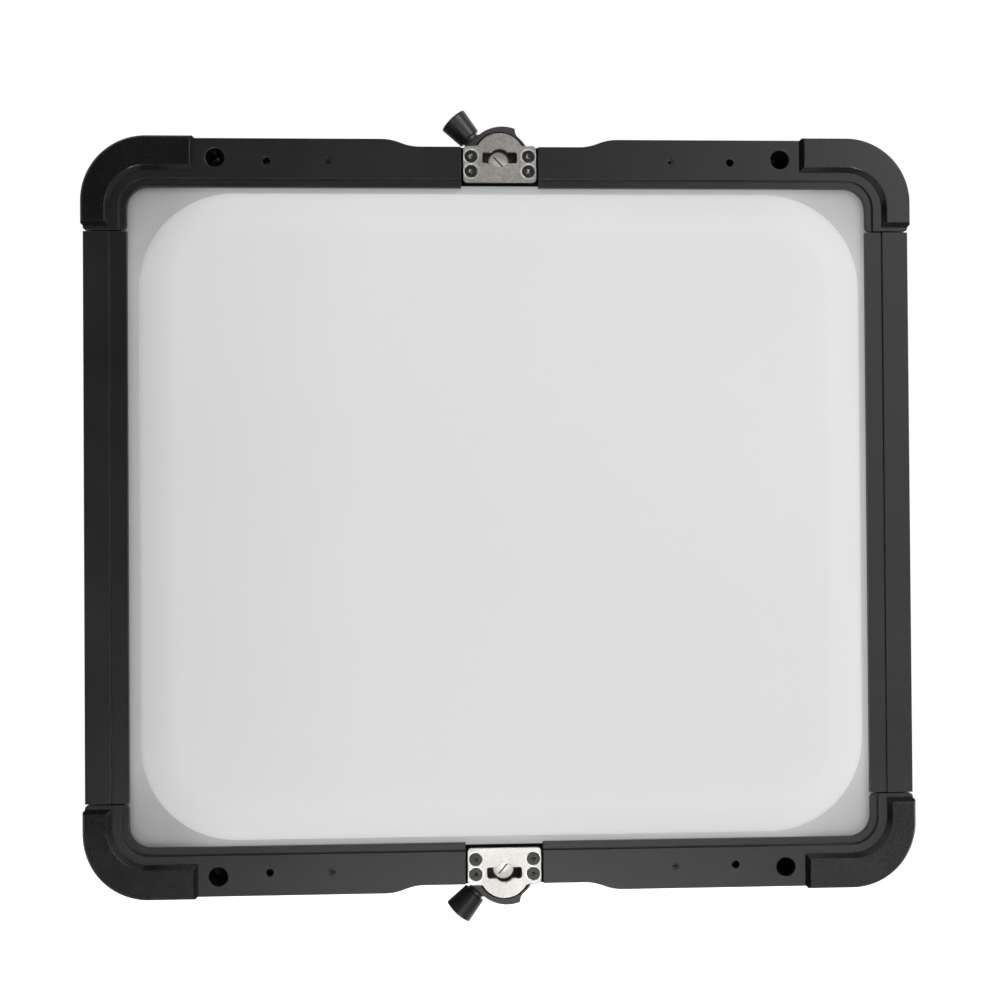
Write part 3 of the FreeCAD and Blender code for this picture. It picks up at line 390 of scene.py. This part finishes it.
def rubber(name, base, rough, grain=900.0, grain_height=0.00008, sheen=0.15):
    mat = Material(name)
    fine = mat.noise(scale=grain, detail=4.0, rough=0.65)
    broad = mat.noise(scale=45.0, detail=3.0, rough=0.6)
    edges, normal = mat.edges(radius=0.0007)
    colour = mat.mix(mat.spread(broad), shade(base, factor=0.75), shade(base, factor=1.4))
    colour = mat.mix(mat.mul(edges, 0.35), colour, shade(base, factor=2.6, lift=0.01))
    roughness = mat.add(mat.spread(fine, to=(rough - 0.05, rough + 0.06)),
                        mat.spread(broad, to=(-0.03, 0.03)))
    return mat.finish(color=colour, rough=roughness, sheen=sheen, sheen_rough=0.4,
                      normal=mat.bump(fine, strength=0.35, distance=grain_height, normal=normal))


def opal_acrylic():
    """Satin opal acrylic: scattering inside, slight unevenness and a fine satin grain, with a
    painted emission glow that stands in for light passed from the box behind it.
    """
    mat = Material("opal_acrylic")
    broad = mat.noise(scale=7.0, detail=2.0, rough=0.5)
    fine = mat.noise(scale=2600.0, detail=2.0, rough=0.6)
    wave = mat.noise(scale=30.0, detail=3.0, rough=0.5)
    colour = mat.mix(mat.spread(broad), (0.560, 0.563, 0.568), (0.572, 0.575, 0.580))
    roughness = mat.add(mat.spread(wave, to=(0.56, 0.60)), mat.spread(fine, to=(-0.03, 0.03)))
    relief = mat.add(mat.mul(fine, 0.12), wave)

    x, y, z = mat.split(mat.coords)
    outside = outside_dome(mat, x, z)
    flange = mat.mul(mat.greater(outside, 0.0003), mat.greater(y, at_depth(4.6)))
    painted_flange_light = painted_flange_glow(mat, x, z, outside)
    # The flange is thinner than the body; its colour is painted a greyer shade, as painted shade for
    # the lesser light through it and the shade of the lip and dome.
    colour = mat.mix(flange, colour, (0.385, 0.385, 0.392))
    # Painted light: the body is given an emission glow, less on its shoulder, most of all at the
    # right, and less at its left end.
    body = mat.mul(mat.ramp(outside, over=(-0.026, -0.006), smooth=True),
                   mat.ramp(x, over=(-0.2, 0.2), to=(-0.03, -0.062)))
    body = mat.add(body, mat.ramp(x, over=(-0.19, -0.08), to=(-0.05, 0.0)))
    body = mat.add(body, 0.203)
    painted_glow = mat.add(mat.mul(flange, painted_flange_light), mat.mul(mat.sub(1.0, flange), body))
    return mat.finish(color=colour, rough=roughness, spec=0.22, sss=0.65,
                      sss_radius=(1.0, 1.0, 0.98), sss_scale=0.018, emit=(1.0, 1.0, 1.0),
                      emit_strength=painted_glow, normal=mat.bump(relief, strength=0.05, distance=0.0001))


def outside_dome(mat, x, z):
    """Distance outside the dome's outline, negative inside it."""
    corner = DOME_CORNER_MM * MM
    beyond = [mat.math("MAXIMUM", mat.sub(mat.abs(place), half * MM - corner), 0.0)
              for place, half in ((x, DOME_HALF_X_MM), (z, DOME_HALF_Z_MM))]
    return mat.sub(mat.length(*beyond), corner)


def painted_flange_glow(mat, x, z, outside):
    """Painted light: an emission glow on the flange, strongest next to the dome's foot."""
    half_z = DOME_HALF_Z_MM * MM
    corner = mat.mul(mat.ramp(mat.abs(x), over=(0.175, 0.215), smooth=True),
                     mat.ramp(mat.abs(z), over=(0.150, 0.190), smooth=True))
    strip = mat.ramp(outside, over=(0.0, 0.007), to=(0.235, 0.205))
    wide = mat.ramp(outside, over=(0.0, 0.027), to=(0.135, 0.014))
    painted_glow = mat.add(mat.mul(strip, mat.sub(1.0, corner)), mat.mul(wide, corner))
    painted_glow = mat.add(painted_glow, mat.mul(corner, 0.032))
    # A little extra painted glow along the top and bottom, most of it at the bottom.
    extra = mat.add(mat.ramp(z, over=(-half_z, -0.200), to=(0.035, 0.0)),
                    mat.ramp(mat.abs(z), over=(0.200, half_z), to=(0.0, 0.012)))
    painted_glow = mat.add(painted_glow, mat.mul(extra, mat.sub(1.0, corner)))
    # Painted light from the right: the glow is lowered at the left and raised at the right.
    return mat.add(painted_glow, mat.ramp(x, over=(-0.23, 0.23), to=(-0.042, 0.045)))


def white_reflector():
    base, rough = (0.86, 0.86, 0.86), 0.55
    mat = Material("white_reflector")
    fine = mat.noise(scale=300.0, detail=4.0, rough=0.6)
    broad = mat.noise(scale=25.0, detail=3.0, rough=0.6)
    colour = mat.mix(mat.spread(broad), shade(base, factor=0.95), base)
    return mat.finish(color=colour, rough=mat.spread(fine, to=(rough - 0.06, rough + 0.06)),
                      normal=mat.bump(fine, strength=0.2, distance=0.00005))


def board(name, mask, copper=0.5):
    """Solder mask over tracks, which stand slightly proud and show a shade lighter."""
    mat = Material(name)
    brick = mat.node("ShaderNodeTexBrick")
    for socket, value in {
        "Vector": mat.mapped(turn=(math.pi / 2, 0, 0)), "Scale": 90.0, "Mortar Size": 0.035,
        "Color1": (1, 1, 1), "Color2": (0.7, 0.7, 0.7), "Mortar": (0, 0, 0),
    }.items():
        mat.put(brick.inputs[socket], value)
    tracks = brick.outputs["Fac"]
    stain = mat.noise(scale=120.0, detail=4.0, rough=0.6)
    colour = mat.mix(mat.mul(tracks, copper), mask, shade(mask, factor=1.9, lift=0.02))
    colour = mat.mix(mat.ramp(stain, over=(0.4, 0.8), to=(0.0, 0.25)), colour,
                     shade(mask, factor=0.6))
    relief = mat.add(tracks, mat.mul(stain, 0.2))
    bump = mat.bump(relief, strength=0.3, distance=0.00005, normal=mat.bevel(0.0003))
    return mat.finish(color=colour, rough=mat.spread(stain, to=(0.25, 0.38)), normal=bump)


def led_phosphor():
    mat = Material("led_phosphor")
    grain = mat.noise(scale=900.0, detail=3.0, rough=0.6)
    colour = mat.mix(mat.ramp(grain, over=(0.35, 0.65)), (0.84, 0.66, 0.16), (0.92, 0.78, 0.34))
    bump = mat.bump(grain, strength=0.2, distance=0.00003, normal=mat.bevel(0.0003))
    return mat.finish(color=colour, rough=mat.spread(grain, to=(0.35, 0.5)), coat=0.3,
                      coat_rough=0.2, normal=bump)


def display_window(x_span, z_span):
    """Dark window with three plain level bars behind it."""
    # Each bar's level and its lower edge, both as fractions of the window.
    bars = ((0.78, 0.68), (0.52, 0.43), (0.64, 0.18))
    bar_start, full_length, bar_height, cells, cell_fill = 0.90, 0.80, 0.12, 26.0, 0.78
    mat = Material("display_window_dark")
    x, y, z = mat.split(mat.coords)
    across = mat.ramp(x, over=x_span)
    up = mat.ramp(z, over=z_span)
    lit = None
    for level, low in bars:
        # Seen from behind, +X lies to the left, so the bars grow from the high end of x.
        inside = mat.mul(mat.less(across, bar_start),
                         mat.greater(across, bar_start - full_length * level))
        row = mat.mul(mat.greater(up, low), mat.less(up, low + bar_height))
        cell = mat.less(mat.math("FRACT", mat.mul(across, cells)), cell_fill)
        bar = mat.mul(mat.mul(inside, row), cell)
        lit = bar if lit is None else mat.math("MAXIMUM", lit, bar)
    grain = mat.noise(scale=700.0, detail=2.0, rough=0.5)
    colour = mat.mix(lit, (0.006, 0.008, 0.010), (0.35, 0.55, 0.62))
    bump = mat.bump(grain, strength=0.04, distance=0.00002, normal=mat.bevel(0.0003))
    return mat.finish(color=colour, rough=mat.spread(grain, to=(0.09, 0.15)), coat=0.4,
                      coat_rough=0.08, emit=mat.mix(lit, (0, 0, 0), (0.35, 0.62, 0.72)),
                      emit_strength=0.45, normal=bump)


def machined(name, base, rough, pitch=0.0004):
    """Dark anodised plate with fine milling arcs."""
    mat = Material(name)
    wave = mat.node("ShaderNodeTexWave", wave_type="RINGS", rings_direction="Y",
                    wave_profile="SIN")
    mat.put(wave.inputs["Vector"], mat.mapped(shift=(0.21, 0, 0.13)))
    wave.inputs["Scale"].default_value = 1.0 / pitch / 6.283
    wave.inputs["Distortion"].default_value = 0.6
    wave.inputs["Detail"].default_value = 2.0
    arcs = wave.outputs["Fac"]
    fine = mat.noise(scale=900.0, detail=3.0, rough=0.6)
    broad = mat.noise(scale=20.0, detail=4.0, rough=0.6)
    edges, normal = mat.edges(radius=0.0006)
    colour = mat.mix(mat.spread(broad), shade(base, factor=0.8), shade(base, factor=1.2))
    colour = mat.mix(mat.mul(edges, 0.6), colour, (0.35, 0.35, 0.36))
    roughness = mat.add(mat.ramp(arcs, over=(0.0, 1.0), to=(rough - 0.04, rough + 0.05)),
                        mat.spread(fine, to=(-0.04, 0.04)))
    relief = mat.add(arcs, mat.mul(fine, 0.6))
    return mat.finish(color=colour, rough=roughness, metal=0.85,
                      normal=mat.bump(relief, strength=0.25, distance=0.00003, normal=normal))


MATERIALS = {
    "frame_black": coated("satin_black_cast", base=(0.0054, 0.0054, 0.0056), rough=0.36,
                          edge_wear_and_highlight=0.8, edge_span=(0.012, 0.08), pocket=True),
    "rail_black": coated("satin_black_rail", base=(0.0054, 0.0054, 0.0056), rough=0.36,
                         grain=1900.0, grain_strength=0.25, edge_wear_and_highlight=0.8, edge_span=(0.012, 0.08)),
    "bumper_black": coated("bumper_black", base=(0.0032, 0.0032, 0.0033), rough=0.26,
                           grain=1700.0, grain_strength=0.15, edge_wear_and_highlight=0.5,
                           edge_span=(0.015, 0.07), speckle=0.12),
    "screw_black": black_oxide(),
    "opal": opal_acrylic(),
    "seal": rubber("seal_foam", base=(0.03, 0.03, 0.03), rough=0.85, grain=1400.0,
                   grain_height=0.0002),
    "white_plastic": white_reflector(),
    "board_white": board("white_solder_mask", mask=(0.78, 0.79, 0.79), copper=0.3),
    "led_yellow": led_phosphor(),
    "aluminium": steel("extruded_aluminium", base=(0.60, 0.61, 0.62), rough=(0.30, 0.42),
                       tumble=300.0, spots=0.3, brush=(2600, 2600, 25)),
    "housing_black": coated("textured_housing", base=(0.016, 0.016, 0.0165), rough=0.56,
                            grain=1100.0, grain_height=0.00012, grain_strength=0.5, edge_wear_and_highlight=0.25),
    "foot_rubber": rubber("foot_rubber", base=(0.02, 0.02, 0.02), rough=0.72),
    "mount_metal": machined("dark_anodised", base=(0.060, 0.061, 0.064), rough=0.34),
    "fan_black": coated("fan_plastic", base=(0.020, 0.020, 0.021), rough=0.38, grain=1400.0,
                        grain_strength=0.2, edge_wear_and_highlight=0.15),
    "case_steel": steel("galvanised_sheet", base=(0.55, 0.56, 0.57), rough=(0.28, 0.45),
                        tumble=90.0, spots=0.9),
    "board_green": board("green_solder_mask", mask=(0.010, 0.085, 0.035)),
    "bezel_black": coated("bezel_gloss", base=(0.010, 0.010, 0.011), rough=0.26, grain=2200.0,
                          grain_strength=0.12, edge_wear_and_highlight=0.12),
    "display_glass": display_window(x_span=(-0.0929, -0.0311), z_span=(-0.1379, -0.1071)),
    "control_knob": rubber("soft_touch_knob", base=(0.018, 0.018, 0.019), rough=0.48,
                           grain=1500.0, grain_height=0.00004),
    "button_grey": rubber("silicone_button", base=(0.115, 0.118, 0.122), rough=0.55,
                          grain=1300.0, grain_height=0.00005),
    "connector": coated("connector_shell", base=(0.022, 0.022, 0.024), rough=0.30, grain=2000.0,
                        grain_strength=0.2, edge_wear_and_highlight=0.6, radius=0.0004, metal=0.7,
                        worn_and_highlight_colour=(0.22, 0.22, 0.22)),
    "inlet": coated("inlet_blue", base=(0.012, 0.045, 0.17), rough=0.33, grain=1800.0,
                    grain_strength=0.2, edge_wear_and_highlight=0.15, vary=0.15, worn_and_highlight_colour=(0.05, 0.12, 0.3)),
    "rocker": coated("rocker_gloss", base=(0.014, 0.014, 0.015), rough=0.20, grain=2400.0,
                     grain_strength=0.08, edge_wear_and_highlight=0.1),
    "latch_steel": steel("tumbled_stainless", base=(0.60, 0.575, 0.54), rough=(0.35, 0.48),
                         tumble=700.0, spots=1.15, painted_plate_light_and_seats=True),
    "lever_black": coated("cast_lever_black", base=(0.045, 0.045, 0.046), rough=0.42,
                          grain=1200.0, grain_height=0.00008, grain_strength=0.4, edge_wear_and_highlight=0.6,
                          radius=0.0006, worn_and_highlight_colour=(0.10, 0.10, 0.098)),
    "grip": rubber("grip_rubber", base=(0.012, 0.012, 0.0125), rough=0.34, grain=1600.0,
                   grain_height=0.00004, sheen=0.05),
    "neck_steel": coated("neck_black_oxide", base=(0.13, 0.13, 0.13), rough=0.34, grain=1800.0,
                         grain_strength=0.2, edge_wear_and_highlight=0.5, metal=0.7, worn_and_highlight_colour=(0.30, 0.30, 0.30)),
    "stud_steel": turned_steel(),
    "spring_steel": steel("spring_steel", base=(0.45, 0.45, 0.46), rough=(0.25, 0.35),
                          tumble=600.0),
    "bronze": steel("sintered_bronze", base=(0.55, 0.37, 0.17), rough=(0.38, 0.5),
                    tumble=700.0),
}

SLOT_OF = {part["node"]: part["material_slot"] for part in frame["record"]["subparts"]}
for node_name, cad_piece in NODES.items():
    cad_piece.data.materials.clear()
    cad_piece.data.materials.append(MATERIALS[SLOT_OF[node_name]])


# ============================================================ mesh helpers, in millimetres
def link_mesh(name, bm):
    mesh = bpy.data.meshes.new(name)
    bm.to_mesh(mesh)
    bm.free()
    obj = bpy.data.objects.new(name, mesh)
    bpy.context.scene.collection.objects.link(obj)
    return obj


def new_piece(name, bm, slot, smooth):
    bmesh.ops.recalc_face_normals(bm, faces=bm.faces)
    obj = link_mesh(name, bm)
    for polygon in obj.data.polygons:
        polygon.use_smooth = smooth
    obj.data.materials.append(MATERIALS[slot])
    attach(obj, "root")
    return obj


def add_vertex(bm, x, depth, z):
    return bm.verts.new((x * MM, at_depth(depth), z * MM))


def bridge(bm, ring, following):
    """Quads between two closed rings of the same count."""
    count = len(ring)
    for i in range(count):
        j = (i + 1) % count
        bm.faces.new((ring[i], ring[j], following[j], following[i]))


def rounded_rect(half_x, half_z, radius, arc_steps=14, side_steps=10):
    """Closed (x, z) outline, with the same count of points for every size."""
    in_x, in_z = half_x - radius, half_z - radius
    centres = [(in_x, in_z), (-in_x, in_z), (-in_x, -in_z), (in_x, -in_z)]

    def on_arc(corner, degrees):
        angle = math.radians(90 * corner + degrees)
        x, z = centres[corner]
        return x + radius * math.cos(angle), z + radius * math.sin(angle)

    points = []
    for corner in range(4):
        points += [on_arc(corner, 90.0 * k / arc_steps) for k in range(arc_steps + 1)]
        x0, z0 = points[-1]
        x1, z1 = on_arc((corner + 1) % 4, 0)
        for k in range(1, side_steps):
            along = k / side_steps
            points.append((x0 + (x1 - x0) * along, z0 + (z1 - z0) * along))
    return points


# ============================================================ opal dome
CROWN = 10.5                # how far the face's middle stands in front of its edges
CROWN_BLEND = 14.0          # the crowning fades in over this much inset
DOME_BACK = 7.4
WALL_INSET, WALL_FRONT = 0.5, -15.0     # where the wall ends and the shoulder starts
SHOULDER_WIDTH, SHOULDER_STEPS = 30.0, 16
FACE_STEPS = 22
# Foot and wall: inset from the outline, depth.
DOME_FOOT = [(-2.4, FLANGE_FRONT_MM), (-1.5, 4.85), (-0.7, 4.35), (-0.2, 3.5), (0.0, 2.2),
             (0.15, -3.0), (0.35, -9.0), (WALL_INSET, WALL_FRONT)]
FLANGE_CORNER, FLANGE_THICKNESS, FLANGE_GAP = 18.0, 2.4, 1.0
NOTCH_HALF_WIDTH, NOTCH_FLOOR_Z = 30.0, 214.6


def crown_lift(x, z):
    across, up = x / DOME_HALF_X_MM, z / DOME_HALF_Z_MM
    return CROWN * max(0.0, 1 - across ** 2) * max(0.0, 1 - up ** 2)


def dome_body(bm, face_edge):
    """Near-vertical wall, soft rolled shoulder and gently crowned face, closed at the back."""
    profile = list(DOME_FOOT)
    for k in range(1, SHOULDER_STEPS + 1):
        angle = math.radians(90.0 * k / SHOULDER_STEPS)
        profile.append((WALL_INSET + SHOULDER_WIDTH * (1 - math.cos(angle)),
                        WALL_FRONT + (face_edge - WALL_FRONT) * math.sin(angle)))
    rings = []
    for inset, depth in profile:
        blend = min(1.0, max(0.0, inset / CROWN_BLEND))
        blend = blend ** 2 * (3 - 2 * blend)
        outline = rounded_rect(DOME_HALF_X_MM - inset, DOME_HALF_Z_MM - inset,
                               DOME_CORNER_MM - inset)
        rings.append([add_vertex(bm, x, depth - blend * crown_lift(x, z), z)
                      for x, z in outline])
    for k in range(1, FACE_STEPS):
        size = 1 - k / FACE_STEPS
        rings.append([add_vertex(bm, x * size, depth - crown_lift(x * size, z * size), z * size)
                      for x, z in outline])
    for ring, following in zip(rings, rings[1:]):
        bridge(bm, ring, following)
    centre = add_vertex(bm, 0, depth - crown_lift(0, 0), 0)
    last = rings[-1]
    for i in range(len(last)):
        bm.faces.new((last[i], last[(i + 1) % len(last)], centre))
    # The back is closed just in front of the gasket, so that light spreads inside the body.
    back = [bm.verts.new((v.co.x, at_depth(DOME_BACK), v.co.z)) for v in rings[0]]
    bridge(bm, back, rings[0])
    bm.faces.new(back)


def dome_flange(half_x, half_z):
    """Plate round the body, with a latch notch in its top and bottom sides."""
    outer = []
    for x, z in rounded_rect(half_x, half_z, FLANGE_CORNER, arc_steps=10, side_steps=2):
        if abs(x) < NOTCH_HALF_WIDTH:
            # The middle of the top or bottom side gives way to the four corners of a notch.
            side = 1 if z > 0 else -1
            notch_x, edge_z, floor_z = (side * size for size in
                                        (NOTCH_HALF_WIDTH, half_z, NOTCH_FLOOR_Z))
            outer += [(notch_x, edge_z), (notch_x, floor_z),
                      (-notch_x, floor_z), (-notch_x, edge_z)]
        else:
            outer.append((x, z))
    hole = rounded_rect(*(size + FLANGE_GAP for size in
                          (DOME_HALF_X_MM, DOME_HALF_Z_MM, DOME_CORNER_MM)))
    bm = bmesh.new()
    loops = [[add_vertex(bm, x, FLANGE_FRONT_MM, z) for x, z in points]
             for points in (outer, hole)]
    edges = [bm.edges.new((loop[i], loop[(i + 1) % len(loop)]))
             for loop in loops for i in range(len(loop))]
    bmesh.ops.triangle_fill(bm, use_beauty=True, use_dissolve=False, edges=edges)
    extruded = bmesh.ops.extrude_face_region(bm, geom=bm.faces[:])["geom"]
    bmesh.ops.translate(bm, vec=(0, FLANGE_THICKNESS * MM, 0),
                        verts=[v for v in extruded if isinstance(v, bmesh.types.BMVert)])
    bmesh.ops.recalc_face_normals(bm, faces=bm.faces)
    mesh = bpy.data.meshes.new("flange_tmp")
    bm.to_mesh(mesh)
    bm.free()
    return mesh


def opal_dome():
    low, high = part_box("dome_diffuser")
    bm = bmesh.new()
    dome_body(bm, face_edge=depth_of(low.y) + 0.3 + CROWN)
    flange = dome_flange(high.x * 1000.0, high.z * 1000.0)
    bm.from_mesh(flange)
    bpy.data.meshes.remove(flange)
    obj = new_piece("opal_dome", bm, "opal", smooth=True)
    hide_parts("dome_diffuser")
    obj.modifiers.new("split", "EDGE_SPLIT").split_angle = math.radians(35)


opal_dome()


# ============================================================ marks on the control panel
MARK_SINK = 0.05            # the marks start this far inside the bezel
TICK_RISE, DOT_RISE = 0.12, 0.14
TICK_INNER = 14.0           # radius from the knob's axis
LONG_TICK = (15.9, 0.30)    # outer radius, half width
SHORT_TICK = (15.1, 0.20)
DOT_LOW_RADIUS, DOT_TOP_RADIUS = 0.55, 0.40
DOT_PITCH, DOT_DROP = 2.4, 1.8


def raised_mark(bm, low, top, bezel, rise):
    """A flat-topped mark between two (x, z) outlines."""
    low_ring = [add_vertex(bm, x, bezel - MARK_SINK, z) for x, z in low]
    top_ring = [add_vertex(bm, x, bezel + rise, z) for x, z in top]
    bridge(bm, low_ring, top_ring)
    bm.faces.new(top_ring)


def knob_ticks(bm, knob, bezel):
    low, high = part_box(knob)
    centre_x, centre_z = (low.x + high.x) * 500.0, (low.z + high.z) * 500.0
    for k in range(11):
        angle = math.radians(225 - 27 * k)
        outer, half = LONG_TICK if k in (0, 5, 10) else SHORT_TICK
        # Mirrored in x, because the panel is read from behind.
        out_x, out_z = -math.cos(angle), math.sin(angle)

        def place(radius, side):
            return (centre_x + out_x * radius - out_z * side,
                    centre_z + out_z * radius + out_x * side)

        shape = [(TICK_INNER, -half), (outer - half, -half), (outer, 0),
                 (outer - half, half), (TICK_INNER, half)]
        raised_mark(bm, [place(radius, side) for radius, side in shape],
                    [place(radius * 0.995 + 0.07, side * 0.75) for radius, side in shape],
                    bezel, TICK_RISE)


def button_dots(bm, number, bezel):
    """As many dots under a button as its number."""
    low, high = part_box("button_%d" % number)
    centre_x, z = (low.x + high.x) * 500.0, low.z * 1000.0 - DOT_DROP
    angles = [math.radians(30 * j) for j in range(12)]
    for k in range(number):
        x = centre_x + (k - (number - 1) / 2) * DOT_PITCH
        circles = [[(x + radius * math.cos(angle), z + radius * math.sin(angle))
                    for angle in angles] for radius in (DOT_LOW_RADIUS, DOT_TOP_RADIUS)]
        raised_mark(bm, *circles, bezel, DOT_RISE)


def panel_marks():
    """Ticks round the three knobs and dots under the buttons, slightly proud of the bezel."""
    bm = bmesh.new()
    bezel = depth_of(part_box("control_bezel")[1].y)
    for knob in ("dimmer_knob", "colour_knob", "menu_knob"):
        knob_ticks(bm, knob, bezel)
    for number in (1, 2, 3):
        button_dots(bm, number, bezel)
    new_piece("panel_marks", bm, "white_plastic", smooth=False)


panel_marks()


# ============================================================ floor
FLOOR_Z = -1.62
FLOOR_RADII = [0.6, 1.2, 2.0, 3.0, 4.2, 5.6, 7.0]
FLOOR_FLAT_RADIUS = 4.2     # the sheet curves up outside this radius
FLOOR_CURVE = 0.02
FLOOR_SEGMENTS = 64


def pale_paper():
    mat = Material("pale_paper")
    grain = mat.noise(scale=60.0, detail=4.0, rough=0.6)
    colour = mat.mix(mat.spread(grain), (0.88, 0.88, 0.88), (0.91, 0.91, 0.91))
    mat.finish(color=colour, rough=0.9, emit=(1, 1, 1), emit_strength=0.55,
               normal=mat.bump(grain, strength=0.1, distance=0.0005))
    # Seen by the camera only; the light on the object comes from the studio round it.
    clear = mat.node("ShaderNodeBsdfTransparent")
    mixer = mat.node("ShaderNodeMixShader")
    mat.put(mixer.inputs[0], mat.node("ShaderNodeLightPath").outputs["Is Camera Ray"])
    mat.put(mixer.inputs[1], clear.outputs[0])
    mat.put(mixer.inputs[2], mat.shader.outputs[0])
    mat.put(mat.output.inputs[0], mixer.outputs[0])
    return mat.material


def floor():
    """A wide round sheet of pale paper, well below the object."""
    bm = bmesh.new()
    centre = bm.verts.new((0, 0, FLOOR_Z))
    angles = [2 * math.pi * k / FLOOR_SEGMENTS for k in range(FLOOR_SEGMENTS)]
    rings = []
    for radius in FLOOR_RADII:
        z = FLOOR_Z + FLOOR_CURVE * max(0.0, radius - FLOOR_FLAT_RADIUS) ** 2
        rings.append([bm.verts.new((radius * math.cos(angle), radius * math.sin(angle), z))
                      for angle in angles])
    for k in range(FLOOR_SEGMENTS):
        bm.faces.new((centre, rings[0][k], rings[0][(k + 1) % FLOOR_SEGMENTS]))
    for inner, outer in zip(rings, rings[1:]):
        for k in range(FLOOR_SEGMENTS):
            j = (k + 1) % FLOOR_SEGMENTS
            bm.faces.new((inner[k], outer[k], outer[j], inner[j]))
    obj = link_mesh("floor", bm)
    obj.data.materials.append(pale_paper())


floor()


# ============================================================ world
def studio_world():
    """Surroundings that differ for glossy, other and camera rays; x, y, z is the direction."""
    world = bpy.data.worlds.new("studio")
    bpy.context.scene.world = world
    world.use_nodes = True
    graph = NodeGraph(world.node_tree)
    output = graph.node("ShaderNodeOutputWorld")
    background = graph.node("ShaderNodeBackground")
    graph.put(output.inputs[0], background.outputs[0])
    x, y, z = graph.split(graph.node("ShaderNodeTexCoord").outputs["Generated"])
    add, sub, mul = graph.add, graph.sub, graph.mul

    def fade(value, over, to=(0.0, 1.0)):
        return graph.ramp(value, over=over, to=to, smooth=True)

    behind = fade(y, over=(-0.05, 0.35))
    # Glossy rays meet a strip of bright table below the middle and a soft box on the right,
    # both fading out far to the sides, over a dim level that falls off to the left.
    near = mul(fade(graph.abs(x), over=(0.80, 0.55)), fade(graph.abs(z), over=(0.80, 0.55)))
    soft_box = mul(fade(x, over=(0.171, 0.236)), fade(z, over=(-0.08, -0.05)))
    table = mul(fade(graph.abs(sub(x, 0.06)), over=(0.083, 0.053)),
                fade(z, over=(-0.184, -0.298)))
    glossy_level = add(mul(soft_box, 1.75), mul(table, 14.0))
    dim = add(0.03, mul(fade(x, over=(-0.25, 0.15)), 0.19))
    glossy_level = add(mul(glossy_level, near), dim)
    # Other rays meet light that is strongest from the front, weaker from the right and weakest
    # from the left, with a little from the table below.
    matt_level = add(mul(graph.math("MINIMUM", x, 0.0), 1.29),
                     mul(graph.math("MAXIMUM", x, 0.0), -0.74))
    matt_level = add(add(matt_level, 1.30), mul(z, 0.05))
    matt_level = add(matt_level, mul(fade(z, over=(-0.45, -0.95)), 0.35))

    path = graph.node("ShaderNodeLightPath").outputs
    glossy, camera = path["Is Glossy Ray"], path["Is Camera Ray"]
    level = add(mul(glossy_level, glossy), mul(matt_level, sub(1.0, glossy)))
    level = add(mul(level, sub(1.0, behind)), mul(1.0, behind))
    level = add(mul(level, sub(1.0, camera)), mul(1.02, camera))
    graph.put(background.inputs["Strength"], level)
    graph.put(background.inputs["Color"], (1, 1, 1))


studio_world()


# ============================================================ lights
def area_light(name, place, target, size, watts, color=(1, 1, 1)):
    light = bpy.data.lights.new(name, "AREA")
    light.shape = "RECTANGLE"
    light.size, light.size_y = size
    light.energy = watts
    light.color = color
    obj = bpy.data.objects.new(name, light)
    bpy.context.scene.collection.objects.link(obj)
    obj.location = place
    obj.rotation_mode = "QUATERNION"
    obj.rotation_quaternion = (Vector(target) - Vector(place)).to_track_quat("-Z", "Y")
    obj.visible_camera = False


area_light("key_right", place=(1.5, -2.0, 1.35), target=(0, -0.1, 0), size=(0.45, 0.45),
           watts=8.0, color=(1.0, 0.995, 0.985))
for side_name, side in (("side_right", 1), ("side_left", -1)):
    area_light(side_name, place=(side * 2.2, 0.5, -0.8), target=(side * 0.25, -0.08, 0),
               size=(0.5, 1.2), watts=5.0)
area_light("fill_back", place=(-1.2, 1.9, 1.0), target=(0, 0, 0), size=(1.6, 1.2), watts=18.0)


# ============================================================ camera
CAMERA_YAW, CAMERA_PITCH, CAMERA_ROLL = -3.0, -0.696, -0.4     # degrees
# The middle of the rails' front plane seen from the camera: metres right, down and forward.
TARGET_FROM_CAMERA = (0.001365, 0.009334, 1.105)
SENSOR_WIDTH_MM, LENS_MM = 36.0, 61.2


def rotation(axis, degrees):
    """Rotation matrix about axis 0, 1 or 2."""
    cosine, sine = math.cos(math.radians(degrees)), math.sin(math.radians(degrees))
    i, j = (axis + 1) % 3, (axis + 2) % 3
    matrix = np.eye(3)
    matrix[i, i] = matrix[j, j] = cosine
    matrix[j, i], matrix[i, j] = sine, -sine
    return matrix


def camera():
    # The rows of view are the camera's right, down and forward directions.
    straight = np.array([[1, 0, 0], [0, 0, -1], [0, 1, 0]])
    view = (rotation(2, CAMERA_ROLL) @ rotation(0, CAMERA_PITCH) @ rotation(1, CAMERA_YAW)
            @ straight)
    place = -view.T @ np.array(TARGET_FROM_CAMERA)
    place[1] -= RAIL_FRONT
    pose = np.eye(4)
    pose[:3, :3] = np.column_stack((view[0], -view[1], -view[2]))
    pose[:3, 3] = place
    data = bpy.data.cameras.new("camera")
    data.sensor_width = SENSOR_WIDTH_MM
    data.lens = LENS_MM
    obj = bpy.data.objects.new("camera", data)
    bpy.context.scene.collection.objects.link(obj)
    obj.matrix_world = Matrix(pose.tolist())
    bpy.context.scene.camera = obj


camera()
view_settings = bpy.context.scene.view_settings
view_settings.view_transform = "Standard"
view_settings.look = "None"
